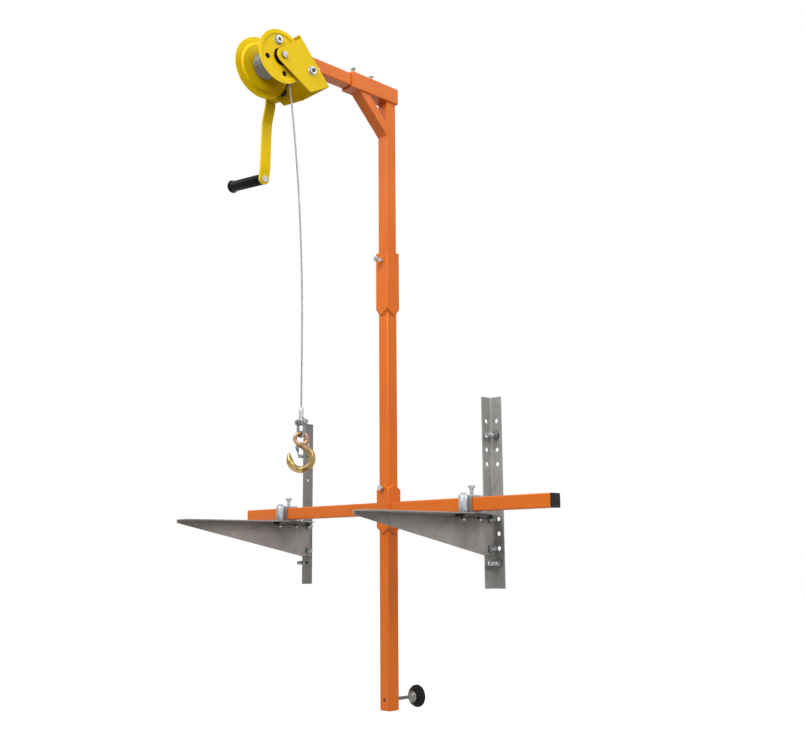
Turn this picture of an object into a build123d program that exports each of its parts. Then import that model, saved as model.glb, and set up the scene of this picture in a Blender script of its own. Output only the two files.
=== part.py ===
from build123d import *
from math import acos, asin, atan, cos, hypot, pi, radians, sin, sqrt, tan
import os

os.makedirs("parts", exist_ok=True)

# Wall-mounted installation crane for lifting an outdoor air-conditioning unit on to its brackets.
# Frame: Y = 0 is the wall, -Y points out into the room side, +X to the right along the wall, +Z up.
# The origin is the middle of the four wall holes that the brackets hang from.

# Square tubes and the sleeves that slide on them
tube = 35.0
tube_wall = 2.0
tube_corner = 3.0
slide_gap = 0.5
sleeve_wall = 4.5
sleeve = tube + 2 * (slide_gap + sleeve_wall)
sleeve_corner = 2.0
sleeve_point = 16.0

# Wall uprights: two handed rolled steel angles
hole_span = 753.0
upright_length = 474.0
upright_leg = 36.0
upright_wall = 3.0
heel_round = 6.0
hole_gauge = 20.0
hole_first = 68.0
hole_pitch = 36.0
hole_rows = 4
hole_radius = 5.5
upright_z = 0.0
anchor_stand = 38.0
washer_sheet = 1.6
heel_x = hole_span / 2 - hole_gauge

# Bracket arms: tapered folded steel, both of one hand
arm_length = 457.0
arm_drop = 56.0
arm_sheet = 2.5
arm_flange = 52.0
arm_root_height = 101.0
arm_tip_height = 10.0
arm_root_straight = 30.0
arm_slot_width = 9.0
arm_slot_line = 28.0
clamp_slot_length = 84.0
foot_slot_length = 150.0
foot_slot_reach = 320.0
arm_clear = 0.5
arm_bolt_stand = 10.0
arm_corner_width = 24.0
arm_corner_run = 55.0
arm_top = upright_z - arm_drop
arm_web_x = heel_x + upright_wall
arm_step = 2 * heel_x + upright_wall

# Cross bar and its clamps on the arms
bar_side = 33.0
clamp_width = 34.0
clamp_floor = 3.5
clamp_wall = 5.0
clamp_boss = 12.5
clamp_boss_out = 7.0
clamp_web = 14.0
clamp_lug_reach = 15.0
clamp_lug_height = 14.0
clamp_plate = 6.0
clamp_plate_width = 36.0
clamp_plate_round = 4.0
clamp_screw_stand = 10.0
clamp_screw_cone = 8.0
clamp_screw_head = 5.5
clamp_x = arm_web_x + arm_slot_line

# Crane uprights on the cross bar
mast_x = 95.5
mast_out = 112.0
bar_left = 604.0
bar_right = 541.5
bar_z = arm_top + clamp_floor + bar_side / 2
bar_sleeve_height = 95.0
sleeve_screw_rise = 6.0
mast_below_bar = 503.0
joint_above_bar = 600.0
coupling_below_joint = 68.0
coupling_above_joint = 88.0
coupling_screw_drop = 21.5
mast_top_above_bar = 1121.0
plug_plate = 3.0
plug_depth = 16.0
plug_wall = 2.0
plug_gap = 0.2
plug_round = 1.5
short_stand = 6.0
tall_stand = 18.0

# Wall foot at the bottom of the mast
foot_rise = 25.5
rod_radius = 4.5
rod_gap = 0.05
rod_recess = 1.0
rod_slot = 1.5
foot_nut_height = 9.0
pad_stand = 12.0
pad_radius = 28.0
pad_depth = 20.0
pad_rim = 5.0
pad_lip = 6.0
pad_hollow = 2.0
cone_radius = 15.0
cone_collar = 7.5
cone_length = 14.0
cone_flare = 6.0

# Boom head
socket_front = 146.0
socket_back = 22.0
screw_steps = (21.0, 87.0)
brace_width = 35.0
brace_depth = 25.0
brace_run = 98.0
boom_tail = 2.0
winch_reach = 300.0

# Winch frame: a folded channel, tilted so that its base faces out and down
winch_tilt = 42.0
winch_sheet = 3.0
base_length = 148.0
base_seat = 85.0
cheek_length = 139.0
cheek_lip = 70.0
cheek_lip_offset = 15.5
near_plate = 40.0
far_plate = -66.0
axle_s = 126.0
axle_n = 86.0
axle_lobe = 20.0
shaft_lobe = 24.0
tie_s = 57.0
tie_n = 28.5
seat_plate = 5.0
seat_plate_width = 72.0
seat_plate_length = 92.0
seat_inset_s = 12.0
seat_inset_x = 10.0

# Drum, gear train and crank
axle_radius = 6.0
axle_head = 8.0
axle_head_height = 6.0
run_gap = 0.05
drum_core = 26.0
core_wall = 3.0
core_web = 4.0
core_web_inset = 14.0
hub_radius = 10.0
hub_gap = 2.0
flange_sheet = 2.5
near_flange = 28.5
near_flange_radius = 70.0
near_rim = 9.0
near_dish = 3.0
far_flange = -46.0
far_flange_radius = 81.0
far_rim = 16.0
far_dish = 5.0
flange_eye = 22.5
keeper_radius = 43.0
keeper_hole = 7.2
keeper_angle = 75.0
gear_module = 2.5
gear_teeth = 51
pinion_teeth = 12
pressure_angle = 25.0
tooth_backlash = 0.3
gear_width = 6.0
gear_spacer = 3.0
gear_boss = 19.0
mesh_angle = 200.8
shaft_radius = 7.0
brake_radius = 24.0
brake_depth = 26.0
brake_round = 2.0
cover_screw_radius = 3.0
cover_screw_inset = 5.5
crank_length = 228.0
crank_lean = 1.5
crank_width = 30.0
crank_sheet = 6.0
crank_hub = 12.0
crank_gap = 6.0
hub_stand = 3.0
joggle_start = 30.0
joggle_end = 76.0
joggle_out = 12.0
end_bend = 7.0
end_length = 30.0
grip_length = 142.0
grip_radius = 14.4
grip_flare = 17.6
grip_flare_length = 18.0
grip_round = 3.0
grip_gap = 1.0
grip_pin_radius = 5.0
grip_pin_head = 8.5

# Rope, shackle and hook
rope_radius = 2.0
rope_layer_radius = 29.7
lay_gap = 0.3
lay_start = 0.7
lay_pitch = 4.7
lay_loops = 12
exit_angle = 9.2
hook_turn = 45.0
shackle_turn = -6.0
ring_turn = 62.0
ferrule_length = 22.0
ferrule_width = 12.0
ferrule_depth = 8.0
eye_tuck = 4.0
eye_length = 22.0
eye_width = 18.0
eye_wire = 2.2
shackle_pin = 4.0
shackle_wire = 3.6
shackle_half = 13.5
shackle_length = 38.6
shackle_ear = 8.0
ear_half = 4.0
pin_head = 6.4
pin_head_height = 4.0
pin_end = 3.0
loose_gap = 0.4
hook_eye = 9.5
hook_eye_wire = 5.0
hook_neck = 6.5
hook_wire = 8.5
hook_bowl = 27.0
hook_shank = 33.0
hook_mouth = 190.0
hook_tip_length = 18.0
hook_tip_radius = 2.5
latch_in = -9.5
latch_up = 26.5
latch_open = 50.0
latch_pin_radius = 1.8
latch_sheet = 2.0
latch_gap = 0.4
latch_cheek = 3.6
latch_lug = 4.0
lug_root = 4.5
latch_fork = 11.0
latch_tongue = 7.0
latch_seat = (6.3, -4.7)

# Fasteners
m8 = 4.0
m10 = 5.0
m12 = 6.0
bolt_hole = 4.5
head_face = 0.95


def hex_across(thread):
    """Half the width across flats of the head for a thread radius."""
    return 1.625 * thread


def hex_head(across, height):
    """A hex head on Z = 0, by half its width across flats, with its top corners turned off."""
    corner = across / cos(radians(30))
    face = head_face * across
    rise = (corner - face) * tan(radians(30))
    with BuildPart() as head:
        with BuildSketch():
            RegularPolygon(across, 6, major_radius=False)
        extrude(amount=height)
        with BuildSketch(Plane.XZ):
            with BuildLine():
                Polyline((0, 0), (corner, 0), (corner, height - rise))
                Polyline((corner, height - rise), (face, height), (0, height), (0, 0))
            make_face()
        revolve(axis=Axis.Z, mode=Mode.INTERSECT)
    return head.part


def hex_bolt(thread, length):
    """A hex bolt whose head stands on Z = 0 and whose shank runs down."""
    with BuildPart() as bolt:
        add(hex_head(hex_across(thread), 1.3 * thread))
        with BuildSketch():
            Circle(thread)
        extrude(amount=-length)
    return bolt.part


def hex_nut(thread, height):
    """A hex nut standing on Z = 0 with its threaded bore."""
    with BuildPart() as nut:
        add(hex_head(hex_across(thread), height))
        with BuildSketch():
            Circle(thread)
        extrude(amount=height, mode=Mode.SUBTRACT)
    return nut.part


def square_tube(start, side, wall, corner, length):
    """A square hollow section drawn on a plane and run along its normal."""
    with BuildPart() as run:
        with BuildSketch(start):
            RectangleRounded(side, side, corner)
            RectangleRounded(side - 2 * wall, side - 2 * wall, corner / 2, mode=Mode.SUBTRACT)
        extrude(amount=length)
    return run.part


def save(piece, name):
    piece.label = name
    export_step(piece, f"parts/{name}.step")


def side_plane(x, y=0.0, z=0.0):
    """A plane square to X whose own x is Y and whose own y is Z."""
    return Plane((x, y, z), x_dir=(0, 1, 0), z_dir=(1, 0, 0))


def mast_plane(z):
    """A level plane centred on the mast."""
    return Plane((mast_x, -mast_out, z))


# Wall uprights, with two groups of holes in each leg
row_offsets = [side * (hole_first + hole_pitch * row) for side in (1, -1) for row in range(hole_rows)]
with BuildPart() as upright_right:
    with BuildSketch(Plane((0, 0, upright_z - upright_length / 2))):
        with Locations((heel_x, 0)):
            Rectangle(upright_leg, upright_wall, align=(Align.MIN, Align.MAX))
            Rectangle(upright_wall, upright_leg, align=(Align.MIN, Align.MAX))
    extrude(amount=upright_length)
    heel_point = (heel_x + upright_wall, -upright_wall, upright_z)
    fillet(upright_right.edges().filter_by(Axis.Z).sort_by_distance(heel_point)[0], heel_round)
    with BuildSketch(Plane.XZ):
        with Locations(*[(hole_span / 2, upright_z + row) for row in row_offsets]):
            Circle(hole_radius)
    extrude(amount=upright_wall, mode=Mode.SUBTRACT)
    with BuildSketch(side_plane(heel_x)):
        with Locations(*[(-hole_gauge, upright_z + row) for row in row_offsets]):
            Circle(hole_radius)
    extrude(amount=upright_wall, mode=Mode.SUBTRACT)
save(upright_right.part, "upright_right")
with BuildPart() as upright_left:
    mirror(upright_right.part, about=Plane.YZ)
save(upright_left.part, "upright_left")

# Bracket arms: tapered web on the upright's leg, folded top flange with slots
arm_root = -upright_wall - heel_round - arm_clear
arm_tip = arm_root - arm_length
arm_bolt_rows = [upright_z - hole_first, upright_z - hole_first - 2 * hole_pitch]
other_arm = Location((-arm_step, 0, 0))
with BuildPart() as arm_right:
    with BuildSketch(side_plane(arm_web_x)):
        with BuildLine():
            Polyline(
                (arm_root, arm_top),
                (arm_tip, arm_top),
                (arm_tip, arm_top - arm_tip_height),
                (arm_root - arm_root_straight, arm_top - arm_root_height),
                (arm_root, arm_top - arm_root_height),
                close=True,
            )
        make_face()
        with Locations(*[(-hole_gauge, row) for row in arm_bolt_rows]):
            Circle(hole_radius, mode=Mode.SUBTRACT)
    extrude(amount=arm_sheet)
    with BuildSketch(Plane((arm_web_x, arm_root, arm_top))):
        with BuildLine():
            Polyline(
                (0, 0),
                (arm_corner_width, 0),
                (arm_flange, -arm_corner_run),
                (arm_flange, -arm_length),
                (0, -arm_length),
                close=True,
            )
        make_face()
        with Locations((arm_slot_line, -mast_out - arm_root)):
            SlotOverall(clamp_slot_length, arm_slot_width, rotation=90, mode=Mode.SUBTRACT)
        with Locations((arm_slot_line, -foot_slot_reach - arm_root)):
            SlotOverall(foot_slot_length, arm_slot_width, rotation=90, mode=Mode.SUBTRACT)
    extrude(amount=-arm_sheet)
    fold = arm_right.edges().filter_by(Axis.Y).group_by(Axis.Z)[-1].sort_by(Axis.X)[0]
    fillet(fold, arm_sheet)
save(arm_right.part, "arm_right")
save(other_arm * arm_right.part, "arm_left")

# Bolts that hold each arm to its upright, with their nuts on the arm's side
arm_grip = upright_wall + arm_sheet
nut_height = 1.6 * m10
with BuildPart() as arm_bolts:
    for row in arm_bolt_rows:
        with Locations(Plane((heel_x, -hole_gauge, row), x_dir=(0, 1, 0), z_dir=(-1, 0, 0))):
            add(hex_bolt(m10, arm_grip + nut_height + arm_bolt_stand))
        with Locations(Plane((heel_x + arm_grip, -hole_gauge, row), x_dir=(0, 1, 0), z_dir=(1, 0, 0))):
            add(hex_nut(m10, nut_height))
    add(other_arm * arm_bolts.part)
save(arm_bolts.part, "arm_bolts")

# Wall anchors: threaded studs with a washer and nut
anchor_rows = [upright_z + hole_first + 2 * hole_pitch, upright_z - hole_first - 3 * hole_pitch]
with BuildPart() as wall_anchors:
    for row in anchor_rows:
        with BuildSketch(Plane((hole_span / 2, 0, row), z_dir=(0, -1, 0))):
            Circle(m10)
        extrude(amount=anchor_stand)
        with BuildSketch(Plane((hole_span / 2, -upright_wall, row), z_dir=(0, -1, 0))):
            Circle(2 * m10)
        extrude(amount=washer_sheet)
        with Locations(Plane((hole_span / 2, -upright_wall - washer_sheet, row), z_dir=(0, -1, 0))):
            add(hex_nut(m10, nut_height))
    mirror(wall_anchors.part, about=Plane.YZ)
save(wall_anchors.part, "wall_anchors")

# Bar clamps: a cast saddle round the bar with a rounded front boss and a rear lug
pocket = bar_side + 2 * slide_gap
clamp_depth = pocket + 2 * clamp_wall
clamp_height = clamp_floor + bar_side + slide_gap + clamp_wall
front_bolt_y = -clamp_depth / 2 - clamp_boss_out
rear_bolt_y = clamp_depth / 2 + clamp_lug_reach / 2
with BuildPart() as clamp_right:
    with BuildSketch(Plane((clamp_x, -mast_out, arm_top))):
        Rectangle(clamp_width, clamp_depth)
    extrude(amount=clamp_height)
    with BuildSketch(Plane((clamp_x, -mast_out, arm_top))):
        with Locations((0, front_bolt_y)):
            Circle(clamp_boss)
            Rectangle(clamp_web, clamp_boss_out, align=(Align.CENTER, Align.MIN))
    extrude(amount=clamp_height)
    with BuildSketch(Plane((clamp_x, -mast_out, arm_top))):
        with Locations((0, rear_bolt_y)):
            SlotOverall(clamp_width, clamp_lug_reach + 6)
        with Locations((0, clamp_depth / 2)):
            Rectangle(clamp_width, clamp_lug_reach / 2, align=(Align.CENTER, Align.MIN))
    extrude(amount=clamp_lug_height)
    with BuildSketch(side_plane(clamp_x - clamp_width / 2, -mast_out, arm_top + clamp_floor)):
        Rectangle(pocket, bar_side + slide_gap, align=(Align.CENTER, Align.MIN))
    extrude(amount=clamp_width, mode=Mode.SUBTRACT)
    with BuildSketch(Plane((clamp_x, -mast_out, arm_top))):
        with Locations((0, front_bolt_y), (0, rear_bolt_y)):
            Circle(bolt_hole)
    extrude(amount=clamp_height, mode=Mode.SUBTRACT)
    with BuildSketch(Plane((clamp_x, -mast_out, arm_top + clamp_height))):
        Circle(m8 + rod_gap)
    extrude(amount=-clamp_wall, mode=Mode.SUBTRACT)
save(clamp_right.part, "clamp_right")
save(other_arm * clamp_right.part, "clamp_left")

# Backing plates under the arm flanges, each with its two nuts
plate_top = arm_top - arm_sheet
plate_run = rear_bolt_y - front_bolt_y + 26
with BuildPart() as clamp_plates:
    with BuildSketch(Plane((clamp_x, -mast_out, plate_top))):
        with Locations((0, (front_bolt_y + rear_bolt_y) / 2)):
            RectangleRounded(clamp_plate_width, plate_run, clamp_plate_round)
        with Locations((0, front_bolt_y), (0, rear_bolt_y)):
            Circle(bolt_hole, mode=Mode.SUBTRACT)
    extrude(amount=-clamp_plate)
    for y in (front_bolt_y, rear_bolt_y):
        with Locations(Plane((clamp_x, y - mast_out, plate_top - clamp_plate), z_dir=(0, 0, -1))):
            add(hex_nut(m8, 1.6 * m8))
    add(other_arm * clamp_plates.part)
save(clamp_plates.part, "clamp_plates")

# Clamp bolts through the front boss and the rear lug
bolt_end = plate_top - clamp_plate - 1.6 * m8 - 3
with BuildPart() as clamp_bolts:
    for y, seat in ((front_bolt_y, arm_top + clamp_height), (rear_bolt_y, arm_top + clamp_lug_height)):
        with Locations((clamp_x, y - mast_out, seat)):
            add(hex_bolt(m8, seat - bolt_end))
    add(other_arm * clamp_bolts.part)
save(clamp_bolts.part, "clamp_bolts")

# Clamp screws: cone-necked heads standing on top of the saddles, tips on the bar
screw_tip = arm_top + clamp_floor + bar_side
screw_neck = arm_top + clamp_height + clamp_screw_stand
with BuildPart() as clamp_screw:
    with BuildSketch(Plane((clamp_x, -mast_out, screw_tip))):
        Circle(m8)
    extrude(amount=screw_neck - screw_tip)
    with BuildSketch(Plane((clamp_x, -mast_out, screw_neck))):
        Circle(m8)
    with BuildSketch(Plane((clamp_x, -mast_out, screw_neck + clamp_screw_cone))):
        Circle(hex_across(m8))
    loft()
    with Locations((clamp_x, -mast_out, screw_neck + clamp_screw_cone)):
        add(hex_head(hex_across(m10), clamp_screw_head))
save(clamp_screw.part, "clamp_screw_right")
save(other_arm * clamp_screw.part, "clamp_screw_left")


# Cross bar: two tubes welded to the sides of the mast sleeve
def point_ends(low, high, ends):
    """Cut the four corners back at each end so that every face runs out to a point."""
    slope = sleeve / 2 / sleeve_point
    for end in ends:
        apex = (high if end > 0 else low) + end * sleeve_point
        for sx in (1, -1):
            for sy in (1, -1):
                facet = Plane((mast_x, -mast_out, apex), z_dir=(sx, sy, end * slope))
                split(bisect_by=facet, keep=Keep.BOTTOM)


half_sleeve = bar_sleeve_height / 2 + sleeve_point
with BuildPart() as bar_sleeve:
    add(square_tube(mast_plane(bar_z - half_sleeve), sleeve, sleeve_wall, sleeve_corner, 2 * half_sleeve))
    point_ends(bar_z - half_sleeve, bar_z + half_sleeve, (1, -1))
    screw_z = bar_z + bar_sleeve_height / 2 + sleeve_screw_rise
    with BuildSketch(Plane((mast_x, -mast_out, screw_z), z_dir=(0, -1, 0))):
        Circle(m8 + rod_gap)
    extrude(amount=sleeve, mode=Mode.SUBTRACT)
save(bar_sleeve.part, "bar_sleeve")

right_weld = Plane((mast_x + sleeve / 2, -mast_out, bar_z), z_dir=(1, 0, 0))
left_weld = Plane((mast_x - sleeve / 2, -mast_out, bar_z), z_dir=(-1, 0, 0))
bar_tube_right = square_tube(right_weld, bar_side, tube_wall, tube_corner, bar_right - sleeve / 2)
save(bar_tube_right, "bar_tube_right")
bar_tube_left = square_tube(left_weld, bar_side, tube_wall, tube_corner, bar_left - sleeve / 2)
save(bar_tube_left, "bar_tube_left")

with BuildPart() as bar_cap:
    plug_side = bar_side - 2 * (tube_wall + plug_gap)
    plug_seat = Plane((mast_x + bar_right, -mast_out, bar_z), z_dir=(1, 0, 0))
    with BuildSketch(plug_seat):
        RectangleRounded(bar_side, bar_side, tube_corner)
    extrude(amount=plug_plate)
    fillet(bar_cap.faces().sort_by(Axis.X)[-1].edges(), plug_plate / 2)
    with BuildSketch(plug_seat):
        RectangleRounded(plug_side, plug_side, plug_round)
        Rectangle(plug_side - 2 * plug_wall, plug_side - 2 * plug_wall, mode=Mode.SUBTRACT)
    extrude(amount=-plug_depth)
save(bar_cap.part, "bar_cap")


# Lock screws: hex-headed screws whose tips bear on the tube inside
def lock_screw(stand):
    """A lock screw on Z with its tip at Z = 0 and its head standing off the sleeve."""
    head_seat = slide_gap + sleeve_wall + stand
    with BuildPart() as screw:
        with BuildSketch():
            Circle(m8)
        extrude(amount=head_seat)
        with Locations((0, 0, head_seat)):
            add(hex_head(hex_across(m8), 1.3 * m8))
    return screw.part


with BuildPart() as sleeve_screw:
    with Locations(Plane((mast_x, -mast_out - tube / 2, screw_z), z_dir=(0, -1, 0))):
        add(lock_screw(short_stand))
save(sleeve_screw.part, "sleeve_screw")

# Lower mast: tube, coupling sleeve and the nut welded on for the foot
mast_bottom = bar_z - mast_below_bar
joint_z = bar_z + joint_above_bar
rod_z = mast_bottom + foot_rise
with BuildPart() as lower_mast:
    add(square_tube(mast_plane(mast_bottom), tube, tube_wall, tube_corner, joint_z - mast_bottom))
    with BuildSketch(Plane((mast_x, -mast_out - tube / 2, rod_z), z_dir=(0, 1, 0))):
        Circle(rod_radius + rod_gap)
    extrude(amount=tube, mode=Mode.SUBTRACT)
save(lower_mast.part, "lower_mast")

coupling_low = joint_z - coupling_below_joint - sleeve_point
coupling_high = joint_z + coupling_above_joint
coupling_screw_z = coupling_high - coupling_screw_drop
with BuildPart() as coupling_sleeve:
    run = coupling_high - coupling_low
    add(square_tube(mast_plane(coupling_low), sleeve, sleeve_wall, sleeve_corner, run))
    point_ends(coupling_low, coupling_high, (-1,))
    with BuildSketch(Plane((mast_x, -mast_out, coupling_screw_z), z_dir=(0, -1, 0))):
        Circle(m8 + rod_gap)
    extrude(amount=sleeve, mode=Mode.SUBTRACT)
save(coupling_sleeve.part, "coupling_sleeve")

with BuildPart() as coupling_screw:
    with Locations(Plane((mast_x, -mast_out - tube / 2, coupling_screw_z), z_dir=(0, -1, 0))):
        add(lock_screw(tall_stand))
save(coupling_screw.part, "coupling_screw")

with BuildPart() as foot_nut:
    with BuildSketch(Plane((mast_x, -mast_out + tube / 2 - tube_wall, rod_z), z_dir=(0, -1, 0))):
        RegularPolygon(hex_across(m10), 6, major_radius=False)
        Circle(rod_radius + rod_gap, mode=Mode.SUBTRACT)
    extrude(amount=foot_nut_height)
save(foot_nut.part, "foot_nut")

# Wall foot: slotted threaded rod, steel cone and rubber dome pad
rod_front = -mast_out - tube / 2 + rod_recess
pad_plane = Plane((mast_x, -pad_stand, rod_z), x_dir=(0, 1, 0), z_dir=(1, 0, 0))
pad_axis = Axis((mast_x, -pad_stand, rod_z), (0, 1, 0))
with BuildPart() as foot_rod:
    with BuildSketch(Plane((mast_x, rod_front, rod_z), z_dir=(0, 1, 0))):
        Circle(rod_radius)
    extrude(amount=-pad_stand - pad_depth / 2 - rod_front)
    with BuildSketch(Plane((mast_x, rod_front, rod_z), x_dir=(1, 0, 0), z_dir=(0, 1, 0))):
        Rectangle(3 * rod_radius, rod_slot)
    extrude(amount=2 * rod_slot, mode=Mode.SUBTRACT)
    with BuildSketch(pad_plane):
        with BuildLine():
            Polyline(
                (-pad_depth - cone_length, 0),
                (-pad_depth - cone_length, cone_collar),
                (-pad_depth - cone_flare, cone_collar),
                (-pad_depth, cone_radius),
                (-pad_depth, 0),
                close=True,
            )
        make_face()
    revolve(axis=pad_axis)
save(foot_rod.part, "foot_rod")

with BuildPart() as foot_pad:
    with BuildSketch(pad_plane):
        with BuildLine():
            dome = (-0.62 * pad_depth, 0.84 * pad_radius)
            Line((-pad_depth / 2, rod_radius), (-pad_depth, rod_radius))
            Line((-pad_depth, rod_radius), (-pad_depth, cone_radius))
            ThreePointArc((-pad_depth, cone_radius), dome, (-pad_rim, pad_radius))
            Line((-pad_rim, pad_radius), (0, pad_radius))
            Line((0, pad_radius), (0, pad_radius - pad_lip))
            Line((0, pad_radius - pad_lip), (-pad_hollow, pad_radius - pad_lip - pad_hollow))
            Line((-pad_hollow, pad_radius - pad_lip - pad_hollow), (-pad_hollow, 0))
            Line((-pad_hollow, 0), (-pad_depth / 2, 0))
            Line((-pad_depth / 2, 0), (-pad_depth / 2, rod_radius))
        make_face()
    revolve(axis=pad_axis)
save(foot_pad.part, "foot_pad")

# Upper mast, boom socket and brace
mast_top = bar_z + mast_top_above_bar
boom_z = mast_top + sleeve / 2
upper_mast = square_tube(mast_plane(joint_z), tube, tube_wall, tube_corner, mast_top - joint_z)
save(upper_mast, "upper_mast")

with BuildPart() as boom_socket:
    tail = Plane((mast_x, -mast_out + socket_back, boom_z), z_dir=(0, -1, 0))
    add(square_tube(tail, sleeve, sleeve_wall, sleeve_corner, socket_back + socket_front))
    with BuildSketch(Plane((mast_x, -mast_out - socket_front, boom_z))):
        with Locations(*[(0, step) for step in screw_steps]):
            Circle(m8 + rod_gap)
    extrude(amount=sleeve, mode=Mode.SUBTRACT)
save(boom_socket.part, "boom_socket")

for number, step in enumerate(screw_steps, start=1):
    with BuildPart() as socket_screw:
        with Locations((mast_x, -mast_out - socket_front + step, boom_z + tube / 2)):
            add(lock_screw(tall_stand))
    save(socket_screw.part, f"socket_screw_{number}")

with BuildPart() as brace:
    depth = brace_depth * sqrt(2)
    foot = (-mast_out - tube / 2, mast_top - brace_run)
    with BuildSketch(side_plane(mast_x)):
        with BuildLine():
            Polyline(
                foot,
                (foot[0], foot[1] + depth),
                (foot[0] - brace_run + depth, mast_top),
                (foot[0] - brace_run, mast_top),
                close=True,
            )
        make_face()
    extrude(amount=brace_width / 2, both=True)
    brace_middle = (mast_x, foot[0] - brace_run / 2 + depth / 4, mast_top - brace_run / 2 + depth / 4)
    with BuildSketch(Plane(brace_middle, x_dir=(1, 0, 0), z_dir=(0, -1, 1))):
        Rectangle(brace_width - 2 * tube_wall, brace_depth - 2 * tube_wall)
    extrude(amount=2 * brace_run, both=True, mode=Mode.SUBTRACT)
save(brace.part, "brace")

# Winch frame of reference: own x runs up the base, own y from the base to the drum, own z is +X
tilt = radians(winch_tilt)
base_y = -mast_out - winch_reach + base_seat * sin(tilt)
base_z = boom_z - base_seat * cos(tilt)


def winch_plane(x):
    """A plane square to X at a distance from the mast's middle, in the winch's own directions."""
    return Plane((mast_x + x, base_y, base_z), x_dir=(0, -sin(tilt), cos(tilt)), z_dir=(1, 0, 0))


def winch_point(s, n, x=0.0):
    return winch_plane(x).from_local_coords((s, n, 0))


# Boom: inner tube cut on the slant and closed by the winch's seat plate
with BuildPart() as boom:
    tail_plane = Plane((mast_x, -mast_out + boom_tail, boom_z), z_dir=(0, -1, 0))
    add(square_tube(tail_plane, tube, tube_wall, tube_corner, winch_reach + tube))
    seat_cut = Plane(winch_point(0, -seat_plate), z_dir=(0, -cos(tilt), -sin(tilt)))
    split(bisect_by=seat_cut, keep=Keep.BOTTOM)
    with BuildSketch(winch_plane(-seat_plate_width / 2)):
        with Locations((base_seat, 0)):
            Rectangle(seat_plate_length, seat_plate, align=(Align.CENTER, Align.MAX))
    extrude(amount=seat_plate_width)
    seat_holes = [(s, x) for s in (-1, 1) for x in (-1, 1)]
    hole_s = seat_plate_length / 2 - seat_inset_s
    hole_x = seat_plate_width / 2 - seat_inset_x
    with BuildSketch(Plane(winch_point(base_seat, 0), x_dir=(1, 0, 0), z_dir=(0, -cos(tilt), -sin(tilt)))):
        with Locations(*[(x * hole_x, s * hole_s) for s, x in seat_holes]):
            Circle(bolt_hole)
    extrude(amount=-seat_plate, mode=Mode.SUBTRACT)
save(boom.part, "boom")

outward = Plane(winch_point(base_seat, 0), x_dir=(1, 0, 0), z_dir=(0, -cos(tilt), -sin(tilt)))
with BuildPart() as seat_bolts:
    for s, x in seat_holes:
        head_seat = winch_point(base_seat + s * hole_s, winch_sheet, x * hole_x)
        with Locations(Plane(head_seat, z_dir=outward.z_dir)):
            add(hex_bolt(m8, winch_sheet + seat_plate + 1.6 * m8 + 3))
        nut_seat = winch_point(base_seat + s * hole_s, -seat_plate, x * hole_x)
        with Locations(Plane(nut_seat, z_dir=-outward.z_dir)):
            add(hex_nut(m8, 1.6 * m8))
save(seat_bolts.part, "seat_bolts")

# Gear centres
shaft_spread = gear_module * (gear_teeth + pinion_teeth) / 2
shaft_s = axle_s + shaft_spread * cos(radians(mesh_angle))
shaft_n = axle_n + shaft_spread * sin(radians(mesh_angle))

# Winch frame: folded base with two cheek plates
with BuildPart() as winch_frame:
    with BuildSketch(winch_plane(near_plate)):
        with BuildLine():
            Polyline((0, 0), (cheek_length, 0), (cheek_lip_offset, cheek_lip), close=True)
            CenterArc((axle_s, axle_n), axle_lobe, 0, 360)
        make_hull()
        with Locations((axle_s, axle_n)):
            Circle(axle_radius, mode=Mode.SUBTRACT)
        with Locations((tie_s, tie_n)):
            Circle(m12, mode=Mode.SUBTRACT)
    extrude(amount=winch_sheet)
    with BuildSketch(winch_plane(far_plate)):
        with BuildLine():
            Polyline((0, 0), (cheek_length, 0), (cheek_lip_offset, cheek_lip), close=True)
            CenterArc((axle_s, axle_n), axle_lobe, 0, 360)
            CenterArc((shaft_s, shaft_n), shaft_lobe, 0, 360)
        make_hull()
        with Locations((axle_s, axle_n)):
            Circle(axle_radius, mode=Mode.SUBTRACT)
        with Locations((tie_s, tie_n)):
            Circle(m12, mode=Mode.SUBTRACT)
        with Locations((shaft_s, shaft_n)):
            Circle(shaft_radius + run_gap, mode=Mode.SUBTRACT)
    extrude(amount=-winch_sheet)
    with BuildSketch(winch_plane(far_plate - winch_sheet)):
        Rectangle(base_length, winch_sheet, align=(Align.MIN, Align.MIN))
    extrude(amount=near_plate - far_plate + 2 * winch_sheet)
    with BuildSketch(outward):
        with Locations(*[(x * hole_x, s * hole_s) for s, x in seat_holes]):
            Circle(bolt_hole)
    extrude(amount=winch_sheet, mode=Mode.SUBTRACT)
    back = winch_frame.faces().filter_by(outward).sort_by(Axis(winch_point(0, 0), outward.z_dir))[0]
    up_base = Axis(winch_point(0, 0), winch_plane(0).x_dir)
    fillet(back.edges().filter_by(up_base), 0.7 * winch_sheet)
save(winch_frame.part, "winch_frame")

with BuildPart() as drum_axle:
    axle_end = far_plate - winch_sheet - 1.6 * axle_radius - 3
    with BuildSketch(winch_plane(near_plate + winch_sheet)):
        with Locations((axle_s, axle_n)):
            Circle(axle_radius)
    extrude(amount=axle_end - near_plate - winch_sheet)
    with Locations(Plane(winch_point(axle_s, axle_n, near_plate + winch_sheet), z_dir=(1, 0, 0))):
        add(hex_head(axle_head, axle_head_height))
    with Locations(Plane(winch_point(axle_s, axle_n, far_plate - winch_sheet), z_dir=(-1, 0, 0))):
        add(hex_head(axle_head, 1.6 * axle_radius))
save(drum_axle.part, "drum_axle")

# Tie bolt across the cheeks, riveted flush on the far one
with BuildPart() as tie_bolt:
    with BuildSketch(winch_plane(far_plate - winch_sheet)):
        with Locations((tie_s, tie_n)):
            Circle(m12)
    extrude(amount=near_plate - far_plate + 2 * winch_sheet)
    with Locations(Plane(winch_point(tie_s, tie_n, near_plate + winch_sheet), z_dir=(1, 0, 0))):
        add(hex_head(hex_across(m12), 1.3 * m12))
save(tie_bolt.part, "tie_bolt")

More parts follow.
